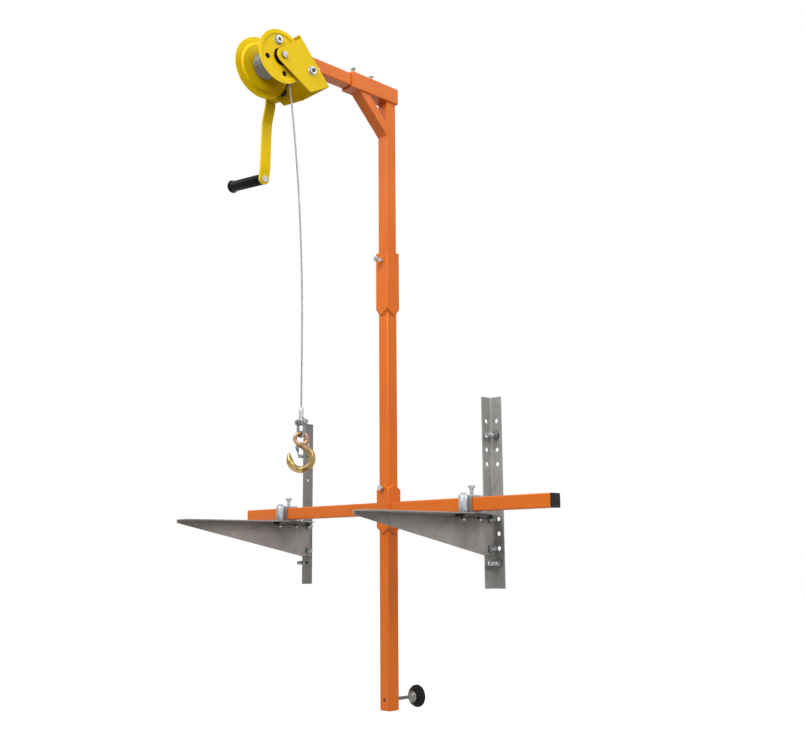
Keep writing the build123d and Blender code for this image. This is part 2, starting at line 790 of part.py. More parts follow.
# Closed housing of the automatic load brake, on the outside of the far cheek
cover_top = far_plate - winch_sheet - brake_depth
with BuildPart() as brake_cover:
    with BuildSketch(winch_plane(far_plate - winch_sheet)):
        with Locations((shaft_s, shaft_n)):
            Circle(brake_radius)
            Circle(shaft_radius + run_gap, mode=Mode.SUBTRACT)
    extrude(amount=-brake_depth)
    cover_face = brake_cover.faces().sort_by(Axis.X)[0]
    fillet(cover_face.edges().sort_by(SortBy.RADIUS)[-1], brake_round)
save(brake_cover.part, "brake_cover")

with BuildPart() as cover_screws:
    shaft_axis = Plane(winch_point(shaft_s, shaft_n, cover_top), z_dir=(-1, 0, 0))
    with BuildSketch(shaft_axis):
        with PolarLocations(brake_radius - cover_screw_inset, 3, start_angle=30):
            Circle(cover_screw_radius)
    extrude(amount=cover_screw_radius)
save(cover_screws.part, "cover_screws")

# Drum: a tube on a hub, turned about the axle
drum_axis = Axis(winch_point(axle_s, axle_n), (1, 0, 0))
half_plane = Plane(winch_point(axle_s, axle_n), x_dir=(1, 0, 0), z_dir=(0, -1, 0))
drum_bore = axle_radius + run_gap
with BuildPart() as drum_core_tube:
    with BuildSketch(half_plane):
        with Locations((far_flange, drum_core)):
            Rectangle(near_flange - far_flange, core_wall, align=(Align.MIN, Align.MAX))
        with Locations((far_flange, drum_bore)):
            hub_run = near_plate - far_flange - hub_gap
            Rectangle(hub_run, hub_radius - drum_bore, align=(Align.MIN, Align.MIN))
        with Locations((near_flange - core_web_inset, drum_bore)):
            Rectangle(core_web, drum_core - core_wall / 2 - drum_bore, align=(Align.MIN, Align.MIN))
    revolve(axis=drum_axis)
save(drum_core_tube.part, "drum_core")


def flange_disc(inside, bore, radius, rim, dish, out):
    """A sheet flange whose rim steps away from the rope; out is +1 towards +X."""
    step = out * dish
    sheet = out * flange_sheet
    with BuildPart() as disc:
        with BuildSketch(half_plane):
            with BuildLine():
                Polyline(
                    (inside, bore),
                    (inside, radius - rim - dish),
                    (inside + step, radius - rim),
                    (inside + step, radius),
                    (inside + step + sheet, radius),
                    (inside + step + sheet, radius - rim - 1),
                    (inside + sheet, radius - rim - dish - 1),
                    (inside + sheet, bore),
                    close=True,
                )
            make_face()
        revolve(axis=drum_axis)
    return disc.part


def keeper_spot(angle):
    """A place on the flange's bolt circle, by its angle above the outward horizontal."""
    return (-keeper_radius * cos(radians(angle)), keeper_radius * sin(radians(angle)))


drum_side = side_plane(mast_x + near_flange, drum_axis.position.Y, drum_axis.position.Z)
keeper_angles = [keeper_angle + 90 * quarter for quarter in range(4)]
with BuildPart() as near_disc:
    add(flange_disc(near_flange, flange_eye, near_flange_radius, near_rim, near_dish, 1))
    with BuildSketch(drum_side):
        with Locations(*[keeper_spot(angle) for angle in keeper_angles]):
            Circle(keeper_hole)
    extrude(amount=flange_sheet, mode=Mode.SUBTRACT)
save(near_disc.part, "drum_flange_near")
far_disc = flange_disc(far_flange, hub_radius, far_flange_radius, far_rim, far_dish, -1)
save(far_disc, "drum_flange_far")

with BuildPart() as keeper_bolt:
    with Locations(drum_side.offset(flange_sheet)):
        with Locations(keeper_spot(keeper_angle)):
            add(hex_bolt(m12, flange_sheet))
save(keeper_bolt.part, "keeper_bolt")


# Gear train: involute teeth on the drum's wheel and on the crank's pinion
def involute(angle):
    return tan(angle) - angle


def gear_face(where, teeth, turn, bore=None):
    """A spur gear face; turn is the angle of the middle of its first tooth."""
    pitch = gear_module * teeth / 2
    base = pitch * cos(radians(pressure_angle))
    tip = pitch + gear_module
    root = pitch - 1.25 * gear_module
    half_tooth = (pi * gear_module / 2 - tooth_backlash) / 2 / pitch

    def flank(radius, side):
        rolled = acos(min(1.0, base / radius))
        half = half_tooth + involute(radians(pressure_angle)) - involute(rolled)
        return (radius * cos(half * side), radius * sin(half * side))

    start = max(base, root)
    middle = (start + tip) / 2
    foot_low = (root - 0.5) / start
    with BuildSketch(Plane.XY, mode=Mode.PRIVATE) as tooth:
        with BuildLine():
            low = flank(start, -1)
            high = flank(start, 1)
            high_foot = (high[0] * foot_low, high[1] * foot_low)
            low_foot = (low[0] * foot_low, low[1] * foot_low)
            Polyline(high, high_foot, low_foot, low)
            ThreePointArc(low, flank(middle, -1), flank(tip, -1))
            ThreePointArc(flank(tip, -1), (tip, 0), flank(tip, 1))
            ThreePointArc(flank(tip, 1), flank(middle, 1), high)
        make_face()
    with BuildSketch(where) as face:
        Circle(root)
        with PolarLocations(0, teeth, start_angle=turn):
            add(tooth.sketch)
        if bore:
            Circle(bore, mode=Mode.SUBTRACT)
    return face.sketch


gear_back = far_flange - flange_sheet - far_dish - gear_spacer
gear_place = Plane(winch_point(axle_s, axle_n, gear_back), x_dir=winch_plane(0).x_dir, z_dir=(1, 0, 0))
with BuildPart() as drum_gear:
    extrude(gear_face(gear_place, gear_teeth, mesh_angle, drum_bore), amount=-gear_width)
    with BuildSketch(gear_place):
        Circle(gear_boss)
        Circle(drum_bore, mode=Mode.SUBTRACT)
    extrude(amount=far_flange - flange_sheet - gear_back)
    with BuildSketch(gear_place.offset(-gear_width)):
        Circle(hub_radius + 3)
        Circle(drum_bore, mode=Mode.SUBTRACT)
    extrude(amount=far_plate + 1 - (gear_back - gear_width))
save(drum_gear.part, "drum_gear")

pinion_turn = mesh_angle + 180 + 180 / pinion_teeth
shaft_place = Plane(winch_point(shaft_s, shaft_n, gear_back), x_dir=winch_plane(0).x_dir, z_dir=(1, 0, 0))
crank_top = cover_top - crank_gap - hub_stand
with BuildPart() as crank_shaft:
    extrude(gear_face(shaft_place, pinion_teeth, pinion_turn), amount=-gear_width)
    with BuildSketch(shaft_place):
        Circle(shaft_radius)
    extrude(amount=crank_top - crank_sheet - gear_back)
    with BuildSketch(shaft_place.offset(cover_top - 1 - gear_back)):
        Circle(crank_hub)
    extrude(amount=crank_top - cover_top + 1)
save(crank_shaft.part, "crank_shaft")

# Crank: flat bar joggled outwards past the brake housing, hanging down at rest
lean = radians(crank_lean)
crank_plane = Plane(
    winch_point(shaft_s, shaft_n), x_dir=(1, 0, 0), z_dir=(0, cos(lean), -sin(lean))
)
crank_outer = crank_top - crank_sheet
end_round = crank_width / 2
bend = radians(end_bend)
bend_at = crank_length - end_length
low_inner = crank_top - joggle_out
low_outer = crank_outer - joggle_out


def bent_point(reach, depth=0.0):
    """A place on the crank's bent end: its reach past the bend and its depth outwards."""
    x = low_inner - reach * sin(bend) - depth * cos(bend)
    return (x, bend_at + reach * cos(bend) - depth * sin(bend))


with BuildPart() as crank_arm:
    with BuildSketch(crank_plane):
        with BuildLine():
            Polyline(
                (crank_top, -end_round),
                (crank_top, joggle_start),
                (low_inner, joggle_end),
                (low_inner, bend_at),
                bent_point(end_length + end_round),
                bent_point(end_length + end_round, crank_sheet),
                (low_outer, bend_at - crank_sheet * tan(bend / 2)),
                (low_outer, joggle_end),
                (crank_outer, joggle_start),
                (crank_outer, -end_round),
                close=True,
            )
        make_face()
    extrude(amount=crank_width / 2, both=True)
    end_edges = [edge for edge in crank_arm.edges() if abs(edge.length - crank_sheet) < run_gap]
    fillet(end_edges, end_round - 0.1)
    across = Plane(crank_plane.origin, x_dir=crank_plane.y_dir, z_dir=(1, 0, 0))
    with BuildSketch(across.offset(crank_top)):
        Circle(shaft_radius)
    extrude(amount=-crank_sheet, mode=Mode.SUBTRACT)
    pin_at = bent_point(end_length)
    grip_way = crank_plane.x_dir * cos(bend) + crank_plane.y_dir * sin(bend)
    grip_seat = Plane(crank_plane.from_local_coords((pin_at[0], pin_at[1], 0)), z_dir=grip_way)
    with BuildSketch(grip_seat):
        Circle(grip_pin_radius)
    extrude(amount=-crank_sheet, mode=Mode.SUBTRACT)
save(crank_arm.part, "crank_arm")

with BuildPart() as crank_nut:
    with Locations(Plane(winch_point(shaft_s, shaft_n, crank_outer), z_dir=(-1, 0, 0))):
        add(hex_head(hex_across(m12), 1.3 * m12))
save(crank_nut.part, "crank_nut")

grip_near = -crank_sheet - grip_gap
grip_far = grip_near - grip_length
with BuildPart() as grip_pin:
    with BuildSketch(grip_seat):
        Circle(grip_pin_radius)
    extrude(amount=grip_far - grip_gap)
    with BuildSketch(grip_seat):
        Circle(grip_pin_head)
    extrude(amount=grip_pin_head / 3)
    with BuildSketch(grip_seat.offset(grip_far - grip_gap)):
        Circle(grip_pin_head)
    extrude(amount=-grip_pin_head / 4)
save(grip_pin.part, "grip_pin")

# Grip: a moulded sleeve on the pin, flared at its free end, drawn along the pin's own line
with BuildPart() as grip:
    with BuildSketch(Plane(grip_seat.origin, x_dir=grip_way, z_dir=crank_plane.z_dir)):
        with BuildLine():
            bore_line = grip_pin_radius + run_gap
            flare_start = (grip_far + grip_flare_length, grip_radius)
            flare_end = (grip_far + grip_round, grip_flare)
            rim_end = (grip_far, grip_flare - grip_round)
            Polyline(rim_end, (grip_far, bore_line), (grip_near, bore_line))
            Polyline((grip_near, bore_line), (grip_near, grip_radius), flare_start)
            flare = TangentArc(flare_start, flare_end, tangent=(-1, 0))
            Line(flare @ 1, rim_end)
        make_face()
    revolve(axis=Axis(grip_seat.origin, grip_way))
save(grip.part, "grip")

# Rope on the drum: plain inner layers and one wound outer layer
with BuildPart() as rope_core:
    with BuildSketch(half_plane):
        with Locations((far_flange, drum_core)):
            Rectangle(near_flange - far_flange, rope_layer_radius - drum_core, align=(Align.MIN, Align.MIN))
    revolve(axis=drum_axis)
save(rope_core.part, "rope_layers")

wind_radius = rope_layer_radius + rope_radius + lay_gap
wind_start = far_flange + rope_radius + lay_gap + lay_start
axle_at = drum_axis.position
helix_rise = lay_pitch / (2 * pi)


def wound(turn):
    """The middle of the rope at a turn angle back from where it leaves the drum."""
    at = radians(exit_angle) + turn
    x = wind_start + lay_pitch * lay_loops - helix_rise * turn
    return Vector(axle_at.X + x, axle_at.Y + wind_radius * cos(at), axle_at.Z + wind_radius * sin(at))


def wound_way(turn):
    at = radians(exit_angle) + turn
    return Vector(-helix_rise, -wind_radius * sin(at), wind_radius * cos(at)).normalized()


def biarc(p0, t0, p1, t1):
    """Two tangent arcs through two points with given directions, as point triples."""
    span = p1 - p0
    both = t0 + t1
    a = 2 * (1 - t0.dot(t1))
    b = 2 * span.dot(both)
    c = -span.dot(span)
    reach = (-b + sqrt(b * b - 4 * a * c)) / (2 * a)
    q0 = p0 + t0 * reach
    q1 = p1 - t1 * reach
    joint = (q0 + q1) * 0.5
    arcs = []
    for first, control, last in ((p0, q0, joint), (joint, q1, p1)):
        chord = (first + last) * 0.5
        half = (last - first).length / 2
        side = control - chord
        bend = atan(side.length / half)
        arcs.append((first, chord + side.normalized() * (half * tan(bend / 2)), last))
    return arcs


exit_point = wound(0)
exit_way = Vector(0, sin(radians(exit_angle)), -cos(radians(exit_angle)))
rope_start = exit_point + exit_way * (2 * rope_radius)
with BuildPart() as rope_winding:
    with BuildLine() as wind_path:
        Line(rope_start, exit_point)
        for half_turn in range(2 * lay_loops):
            first = half_turn * pi
            last = first + pi
            start_way = wound_way(first) if half_turn else -exit_way
            for p, m, q in biarc(wound(first), start_way, wound(last), wound_way(last)):
                ThreePointArc(p, m, q)
        lay_end = 2 * pi * lay_loops
        Line(wound(lay_end), wound(lay_end) + wound_way(lay_end) * (2 * rope_radius))
    with BuildSketch(Plane(rope_start, z_dir=-exit_way)):
        Circle(rope_radius)
    sweep(path=wind_path.wires()[0])
save(rope_winding.part, "rope_winding")

# Hanging rope: gently curved from the drum, then plumb down to the ferrule, as (Y, Z) points
rope_x = rope_start.X
rope_route = [
    (-464.01, 1037.7),
    (-451.58, 950.0),
    (-440.93, 862.3),
    (-432.05, 774.6),
    (-424.95, 686.9),
    (-419.63, 599.2),
    (-416.08, 511.5),
    (-414.30, 423.8),
    (-414.30, 200.0),
]
hang_y, hang_end = rope_route[-1]
rope_line = [rope_start] + [Vector(rope_x, y, z) for y, z in rope_route]
rope_radii = []
for before, here, after in zip(rope_line, rope_line[1:], rope_line[2:]):
    into = here - before
    away = after - here
    bend = radians(into.get_angle(away))
    rope_radii.append(0.45 * min(into.length, away.length) / tan(bend / 2))
with BuildPart() as rope_hanging:
    with BuildLine() as hang_path:
        FilletPolyline(*rope_line, radius=rope_radii)
    with BuildSketch(Plane(rope_start, z_dir=(rope_line[1] - rope_line[0]).normalized())):
        Circle(rope_radius)
    sweep(path=hang_path.wires()[0])
save(rope_hanging.part, "rope_hanging")


# End fittings hang on the plumb of the rope, each turned about it by its own angle
def hung_plane(z, angle):
    """Upright plane through the rope: own x at an angle from +X, own y up."""
    way = radians(angle)
    return Plane((rope_x, hang_y, z), x_dir=(cos(way), sin(way), 0), z_dir=(sin(way), -cos(way), 0))


eye_turn = shackle_turn + 90
with BuildPart() as ferrule:
    along_eye = hung_plane(hang_end, eye_turn).x_dir
    with BuildSketch(Plane((rope_x, hang_y, hang_end), x_dir=along_eye, z_dir=(0, 0, -1))):
        SlotOverall(ferrule_width, ferrule_depth)
    extrude(amount=ferrule_length)
save(ferrule.part, "ferrule")

# Thimble eye: both rope legs round a loop that sits on the shackle pin
eye_top = -ferrule_length + eye_tuck
eye_bend = eye_width / 2 - eye_wire
eye_middle = -ferrule_length - eye_length + eye_wire + eye_bend
eye_leg = eye_wire + lay_gap
leg_reach = hypot(eye_leg, eye_top - eye_middle)
leg_turn = pi / 2 - asin(eye_leg / leg_reach) - acos(eye_bend / leg_reach)
leg_x = eye_bend * cos(leg_turn)
leg_y = eye_middle + eye_bend * sin(leg_turn)
with BuildPart() as rope_eye:
    with BuildLine(hung_plane(hang_end, eye_turn)) as eye_path:
        Line((eye_leg, eye_top), (leg_x, leg_y))
        ThreePointArc((leg_x, leg_y), (0, eye_middle - eye_bend), (-leg_x, leg_y))
        Line((-leg_x, leg_y), (-eye_leg, eye_top))
    eye_wire_line = eye_path.wires()[0]
    with BuildSketch(Plane(eye_wire_line @ 0, z_dir=eye_wire_line % 0)):
        Circle(eye_wire)
    sweep(path=eye_wire_line)
save(rope_eye.part, "rope_eye")

# Shackle: bow, two ears and the cross pin
pin_z = hang_end - ferrule_length - eye_length + 2 * eye_wire + loose_gap + shackle_pin
bow_middle = shackle_half + shackle_wire - shackle_length
pin_plane = hung_plane(pin_z, eye_turn)
with BuildPart() as shackle:
    with BuildLine(hung_plane(pin_z, shackle_turn)) as bow_path:
        leg = Line((shackle_half, 0), (shackle_half, bow_middle))
        bow = ThreePointArc(leg @ 1, (0, bow_middle - shackle_half), (-shackle_half, bow_middle))
        Line(bow @ 1, (-shackle_half, 0))
    with BuildSketch(Plane(bow_path.wires()[0] @ 0, z_dir=(0, 0, -1))):
        Circle(shackle_wire)
    sweep(path=bow_path.wires()[0])
    for side in (1, -1):
        with BuildSketch(pin_plane.offset(side * shackle_half)):
            Circle(shackle_ear)
        extrude(amount=ear_half, both=True)
    with BuildSketch(pin_plane):
        Circle(shackle_pin + run_gap)
    extrude(amount=shackle_half + 2 * ear_half, both=True, mode=Mode.SUBTRACT)
save(shackle.part, "shackle")

with BuildPart() as pin:
    with BuildSketch(pin_plane.offset(-shackle_half - ear_half - pin_end)):
        Circle(shackle_pin)
    extrude(amount=2 * (shackle_half + ear_half) + pin_end)
    with BuildSketch(pin_plane.offset(shackle_half + ear_half)):
        Circle(pin_head)
    extrude(amount=pin_head_height)
save(pin.part, "shackle_pin")

# Hook: eye ring on the bow, swelling shank and tapered bill, measured from the bow's lowest middle line
bow_z = pin_z - shackle_length + shackle_wire
hook_plane = hung_plane(bow_z, hook_turn)
ring_plane = hung_plane(bow_z, ring_turn)
ring_middle = shackle_wire + loose_gap - hook_eye
shank_top = ring_middle - hook_eye - hook_eye_wire
bowl_y = shank_top - hook_shank
bowl_turn = asin(hook_bowl / hook_shank)
shank_end = (hook_bowl * cos(bowl_turn), bowl_y + hook_bowl * sin(bowl_turn))
mouth = radians(hook_mouth)
mouth_at = (hook_bowl * cos(mouth), bowl_y + hook_bowl * sin(mouth))
mouth_way = (sin(mouth), -cos(mouth))
tip_at = (mouth_at[0] + hook_tip_length * mouth_way[0], mouth_at[1] + hook_tip_length * mouth_way[1])
latch_at = (latch_in, bowl_y + latch_up)
with BuildPart() as hook:
    with BuildLine(hook_plane) as bill_path:
        ThreePointArc(shank_end, (0, bowl_y - hook_bowl), mouth_at)
    bill = bill_path.wires()[0]
    bill_start = Plane(bill @ 0, z_dir=bill % 0)
    with BuildSketch(bill_start):
        Circle(hook_wire)
    sweep(path=bill)
    bill_end = Plane(bill @ 1, z_dir=bill % 1)
    tip_plane = bill_end.offset(hook_tip_length)
    with BuildSketch(bill_end):
        Circle(hook_wire)
    with BuildSketch(tip_plane):
        Circle(hook_tip_radius)
    loft()
    tip_rim = hook.edges().filter_by(GeomType.CIRCLE).sort_by_distance(tip_plane.origin)[0]
    fillet(tip_rim, 0.7 * hook_tip_radius)
    shank_length = hypot(shank_end[0], shank_end[1] - shank_top)
    with BuildSketch(bill_start):
        Circle(hook_wire)
    with BuildSketch(bill_start.offset(-shank_length)):
        Circle(hook_neck)
    loft()
    with Locations(hook_plane.from_local_coords((0, shank_top, 0))):
        Sphere(hook_neck)
    with BuildSketch(hung_plane(bow_z, ring_turn - 90)):
        with Locations((0, shank_top)):
            Circle(hook_eye_wire)
    ring_axis = Axis(ring_plane.from_local_coords((0, ring_middle, 0)), ring_plane.z_dir)
    revolve(axis=ring_axis)
    with BuildSketch(hook_plane):
        with BuildLine():
            CenterArc(latch_at, latch_cheek, 0, 360)
            CenterArc((0, shank_top), lug_root, 0, 360)
        make_hull()
    extrude(amount=latch_lug, both=True)
    with BuildSketch(hook_plane):
        with Locations(latch_at):
            Circle(latch_pin_radius + run_gap)
    extrude(amount=hook_wire, both=True, mode=Mode.SUBTRACT)
save(hook.part, "hook")

# Sprung latch: two cheeks on a rivet through the neck's lug, joined by a tongue and swung in
latch_rest = (tip_at[0] + latch_seat[0], tip_at[1] + latch_seat[1])
latch_run = Vector(latch_rest[0] - latch_at[0], latch_rest[1] - latch_at[1])
latch_turned = latch_run.rotate(Axis.Z, latch_open)
latch_plane = Plane(
    hook_plane.from_local_coords((latch_at[0], latch_at[1], 0)),
    x_dir=hook_plane.x_dir * latch_turned.X + hook_plane.y_dir * latch_turned.Y,
    z_dir=hook_plane.z_dir,
)
latch_side = latch_lug + latch_gap
latch_half = latch_side + latch_sheet
with BuildPart() as latch:
    for side in (1, -1):
        with BuildSketch(latch_plane.offset(side * latch_side)):
            with BuildLine():
                CenterArc((0, 0), latch_cheek, 0, 360)
                Line((latch_fork, -latch_sheet), (latch_fork, latch_sheet))
            make_hull()
            Circle(latch_pin_radius + run_gap, mode=Mode.SUBTRACT)
        extrude(amount=side * latch_sheet)
    with BuildSketch(latch_plane):
        with Locations((latch_tongue, 0)):
            Rectangle(latch_run.length - latch_tongue, latch_sheet, align=(Align.MIN, Align.CENTER))
    extrude(amount=latch_half, both=True)
save(latch.part, "latch")

with BuildPart() as latch_pin:
    with BuildSketch(latch_plane):
        Circle(latch_pin_radius)
    extrude(amount=latch_half + latch_gap, both=True)
    for side in (1, -1):
        with BuildSketch(latch_plane.offset(side * (latch_half + latch_gap))):
            Circle(latch_cheek - latch_gap)
        extrude(amount=side * latch_sheet / 2)
save(latch_pin.part, "latch_pin")
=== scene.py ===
import bpy
import math
import random
from mathutils import Matrix, Vector


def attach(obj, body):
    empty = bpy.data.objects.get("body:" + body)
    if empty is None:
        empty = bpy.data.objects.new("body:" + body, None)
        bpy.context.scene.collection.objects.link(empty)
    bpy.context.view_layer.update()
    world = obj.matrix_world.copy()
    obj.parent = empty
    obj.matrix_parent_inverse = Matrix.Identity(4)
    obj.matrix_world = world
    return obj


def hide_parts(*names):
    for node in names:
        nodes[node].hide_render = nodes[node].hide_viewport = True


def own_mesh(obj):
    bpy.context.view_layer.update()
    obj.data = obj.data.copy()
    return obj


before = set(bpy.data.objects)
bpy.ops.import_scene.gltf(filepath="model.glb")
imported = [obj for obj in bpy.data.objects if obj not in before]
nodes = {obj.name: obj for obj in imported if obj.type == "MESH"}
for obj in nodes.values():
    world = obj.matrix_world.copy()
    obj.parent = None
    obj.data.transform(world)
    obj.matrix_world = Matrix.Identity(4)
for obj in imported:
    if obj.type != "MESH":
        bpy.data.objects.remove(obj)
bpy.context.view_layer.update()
scene = bpy.context.scene
MM = 0.001

# Places that several pieces share, in millimetres, as in the solids
mast_x, mast_y = 95.5, -112.0
bar_z = -36.0
socket_low_z = 1084.8
axle_y, axle_z = -503.345, 1080.424
arm_step = -716.0
hole_circle = 43.0
winch_tilt = math.radians(42.0)

# Directions
from_wall, upward, rightward = (0, -1, 0), (0, 0, 1), (1, 0, 0)
to_wall = (0, 1, 0)


# Camera, worked out from the photograph's vanishing lines
def make_camera():
    azimuth, pitch, roll = math.radians(46.0), math.radians(10.1), math.radians(-0.42)
    place = (2.0445, -1.942, -0.149)
    focal_pixels, photo_width, sensor = 1018, 804, 36.0
    level = math.cos(pitch)
    right = Vector((math.cos(azimuth), math.sin(azimuth), 0))
    ahead = Vector((-math.sin(azimuth) * level, math.cos(azimuth) * level, math.sin(pitch)))
    up = right.cross(ahead)
    side = right * math.cos(roll) + up * math.sin(roll)
    top = up * math.cos(roll) - right * math.sin(roll)
    data = bpy.data.cameras.new("camera")
    data.sensor_fit = "HORIZONTAL"
    data.sensor_width = sensor
    data.lens = sensor * focal_pixels / photo_width
    data.clip_end = 60
    camera = bpy.data.objects.new("camera", data)
    scene.collection.objects.link(camera)
    turn = Matrix((side, top, -ahead)).transposed().to_4x4()
    camera.matrix_world = Matrix.Translation(place) @ turn
    scene.camera = camera


make_camera()


# Shader helper: adds nodes to one material and links them
class Net:
    def __init__(self, name):
        self.material = bpy.data.materials.new(name)
        self.material.use_nodes = True
        self.tree = self.material.node_tree
        self.tree.nodes.clear()
        self.output = self.add("OutputMaterial")
        self.shader = self.add("BsdfPrincipled")
        self.join(self.shader.outputs[0], self.output.inputs["Surface"])
        self.place = self.add("TexCoord").outputs["Object"]

    def add(self, kind, **settings):
        node = self.tree.nodes.new("ShaderNode" + kind)
        for key, value in settings.items():
            setattr(node, key, value)
        return node

    def join(self, source, target):
        self.tree.links.new(source, target)

    def feed(self, socket, value):
        if isinstance(value, bpy.types.NodeSocket):
            self.join(value, socket)
        else:
            socket.default_value = value

    def set(self, **values):
        for key, value in values.items():
            self.shader.inputs[key.replace("_", " ")].default_value = value

    def stretched(self, scale):
        """The object's coordinates, scaled along each axis."""
        node = self.add("Mapping")
        self.join(self.place, node.inputs["Vector"])
        node.inputs["Scale"].default_value = scale
        return node.outputs[0]

    def noise(self, scale, detail=2.0, rough=0.5, where=None, bend=0.0):
        node = self.add("TexNoise")
        self.join(where or self.place, node.inputs["Vector"])
        node.inputs["Scale"].default_value = scale
        node.inputs["Detail"].default_value = detail
        node.inputs["Roughness"].default_value = rough
        node.inputs["Distortion"].default_value = bend
        return node.outputs["Fac"]

    def cells(self, scale):
        """One random value for each cell of a crystal pattern."""
        node = self.add("TexVoronoi")
        self.join(self.place, node.inputs["Vector"])
        node.inputs["Scale"].default_value = scale
        split = self.add("SeparateColor")
        self.join(node.outputs["Color"], split.inputs[0])
        return split.outputs[0]

    def span(self, value, low, high, to_low=0.0, to_high=1.0):
        node = self.add("MapRange")
        self.feed(node.inputs["Value"], value)
        node.inputs["From Min"].default_value = low
        node.inputs["From Max"].default_value = high
        node.inputs["To Min"].default_value = to_low
        node.inputs["To Max"].default_value = to_high
        return node.outputs[0]

    def times(self, a, b):
        node = self.add("Math", operation="MULTIPLY", use_clamp=True)
        self.feed(node.inputs[0], a)
        self.feed(node.inputs[1], b)
        return node.outputs[0]

    def blend(self, amount, a, b):
        node = self.add("Mix", data_type="RGBA", blend_type="MIX")
        self.feed(node.inputs[0], amount)
        self.feed(node.inputs[6], a if isinstance(a, bpy.types.NodeSocket) else (*a, 1))
        self.feed(node.inputs[7], b if isinstance(b, bpy.types.NodeSocket) else (*b, 1))
        return node.outputs[2]

    def edges(self, radius):
        """1 along the edges of the solid, 0 on its faces."""
        flat, keen = 0.995, 0.875
        round_off = self.add("Bevel", samples=6)
        round_off.inputs["Radius"].default_value = radius
        facing = self.add("VectorMath", operation="DOT_PRODUCT")
        self.join(round_off.outputs[0], facing.inputs[0])
        self.join(self.add("NewGeometry").outputs["Normal"], facing.inputs[1])
        return self.span(facing.outputs["Value"], flat, keen)

    def hollows(self, distance):
        """1 in corners and under neighbours, 0 in the open."""
        node = self.add("AmbientOcclusion", samples=6)
        node.inputs["Distance"].default_value = distance
        return self.span(node.outputs["AO"], 0.9, 0.25)

    def bump(self, height, strength, depth, under=None):
        node = self.add("Bump")
        node.inputs["Strength"].default_value = strength
        node.inputs["Distance"].default_value = depth
        self.join(height, node.inputs["Height"])
        if under:
            self.join(under, node.inputs["Normal"])
        return node.outputs[0]

    def finish(self, colour, rough, normal):
        self.join(colour, self.shader.inputs["Base Color"])
        self.join(rough, self.shader.inputs["Roughness"])
        self.join(normal, self.shader.inputs["Normal"])
        return self.material


# Paint over steel: slow drift of colour, fine surface texture, painted shade in corners, edges lighter as a
# painted highlight and wear
def paint(name, deep, pale, grime_and_shade, mottle_and_edge_light, rough, grain, peel, edge_light_and_wear, gloss=0.25, streaks=0.0, corner_shade_amount=1.0):
    net = Net(name)
    drift = net.span(net.noise(7.0, 3.0, 0.6), 0.3, 0.7)
    colour = net.blend(drift, deep, pale)
    if streaks:
        mottle = net.span(net.noise(48.0, 5.0, 0.7, bend=0.6), 0.36, 0.66, 0.0, streaks)
        colour = net.blend(mottle, colour, mottle_and_edge_light)
        stain = net.span(net.noise(31.0, 5.0, 0.65, bend=0.4), 0.50, 0.72, 0.0, streaks)
        colour = net.blend(stain, colour, grime_and_shade)
        down = net.stretched((1.0, 1.0, 0.15))
        runs = net.span(net.noise(26.0, 3.0, 0.6, down), 0.5, 0.75, 0.0, 0.4 * streaks)
        colour = net.blend(runs, colour, grime_and_shade)
    speck = net.span(net.noise(grain, 2.0), 0.3, 0.7, 0.0, 0.12)
    colour = net.blend(speck, colour, pale)
    # Painted shade: the colour darkens in corners and under neighbouring parts, in patches
    shade_patches = net.span(net.noise(60.0, 4.0), 0.25, 0.75, 0.05 * corner_shade_amount, 0.42 * corner_shade_amount)
    colour = net.blend(net.times(net.hollows(0.03), shade_patches), colour, grime_and_shade)
    # Painted highlight along edges, in patches like wear: the colour turns lighter there
    rubbed = net.span(net.noise(45.0, 4.0, 0.65), 0.42, 0.62, 0.15, 1.0)
    edge_light_mask = net.times(net.edges(0.0016), rubbed)
    colour = net.blend(net.times(edge_light_mask, edge_light_and_wear), colour, mottle_and_edge_light)
    sheen = net.span(net.noise(42.0, 4.0, 0.6), 0.3, 0.7, rough - 0.04, rough + 0.05)
    skin = net.noise(grain * 1.6, 2.0, 0.6)
    swell = net.noise(26.0, 2.0)
    normal = net.bump(swell, 0.10, 0.0006)
    normal = net.bump(skin, peel, 0.00025, normal)
    net.set(Specular_IOR_Level=gloss)
    return net.finish(colour, sheen, normal)


# Bracket paint: one grey, lighter or darker by a share of its red, green and blue; the lighter and darker
# copies are painted light and painted shade
def bracket_paint(name, light_shares):
    tones = ((0.232, 0.223, 0.208), (0.334, 0.324, 0.306), (0.110, 0.100, 0.088), (0.43, 0.42, 0.40))
    deep, pale, grime_and_shade, mottle_and_edge_light = [tuple(part * share for part, share in zip(tone, light_shares)) for tone in tones]
    return paint(
        name, deep, pale, grime_and_shade, mottle_and_edge_light,
        rough=0.46, grain=300.0, peel=0.30, edge_light_and_wear=0.6, streaks=0.32, corner_shade_amount=0.3,
    )


# Plated and uncoated steel: brushed or spangled, with painted shade in its corners and a painted highlight
# along its edges
def metal(name, deep, pale, corner_shade, rough, spangle=0.0, lines=None, dents=0.06):
    net = Net(name)
    drift = net.span(net.noise(55.0, 4.0, 0.6), 0.3, 0.7)
    if spangle:
        drift = net.times(drift, net.span(net.cells(spangle), 0.0, 1.0, 0.35, 1.0))
    colour = net.blend(drift, deep, pale)
    # Painted shade: darker in corners and under neighbouring parts
    corner_shade_mask = net.times(net.hollows(0.012), net.span(net.noise(150.0, 3.0), 0.25, 0.75, 0.15, 0.6))
    colour = net.blend(corner_shade_mask, colour, corner_shade)
    # Painted highlight: lighter along edges
    colour = net.blend(net.times(net.edges(0.0009), 0.45), colour, pale)
    along = net.stretched(lines) if lines else net.place
    hair = net.noise(1400.0 if lines else 620.0, 2.0, 0.6, along)
    gloss = net.span(hair, 0.3, 0.7, rough - 0.07, rough + 0.10)
    normal = net.bump(net.noise(140.0, 3.0), dents, 0.0005)
    normal = net.bump(hair, 0.05, 0.0002, normal)
    net.set(Metallic=1.0)
    return net.finish(colour, gloss, normal)


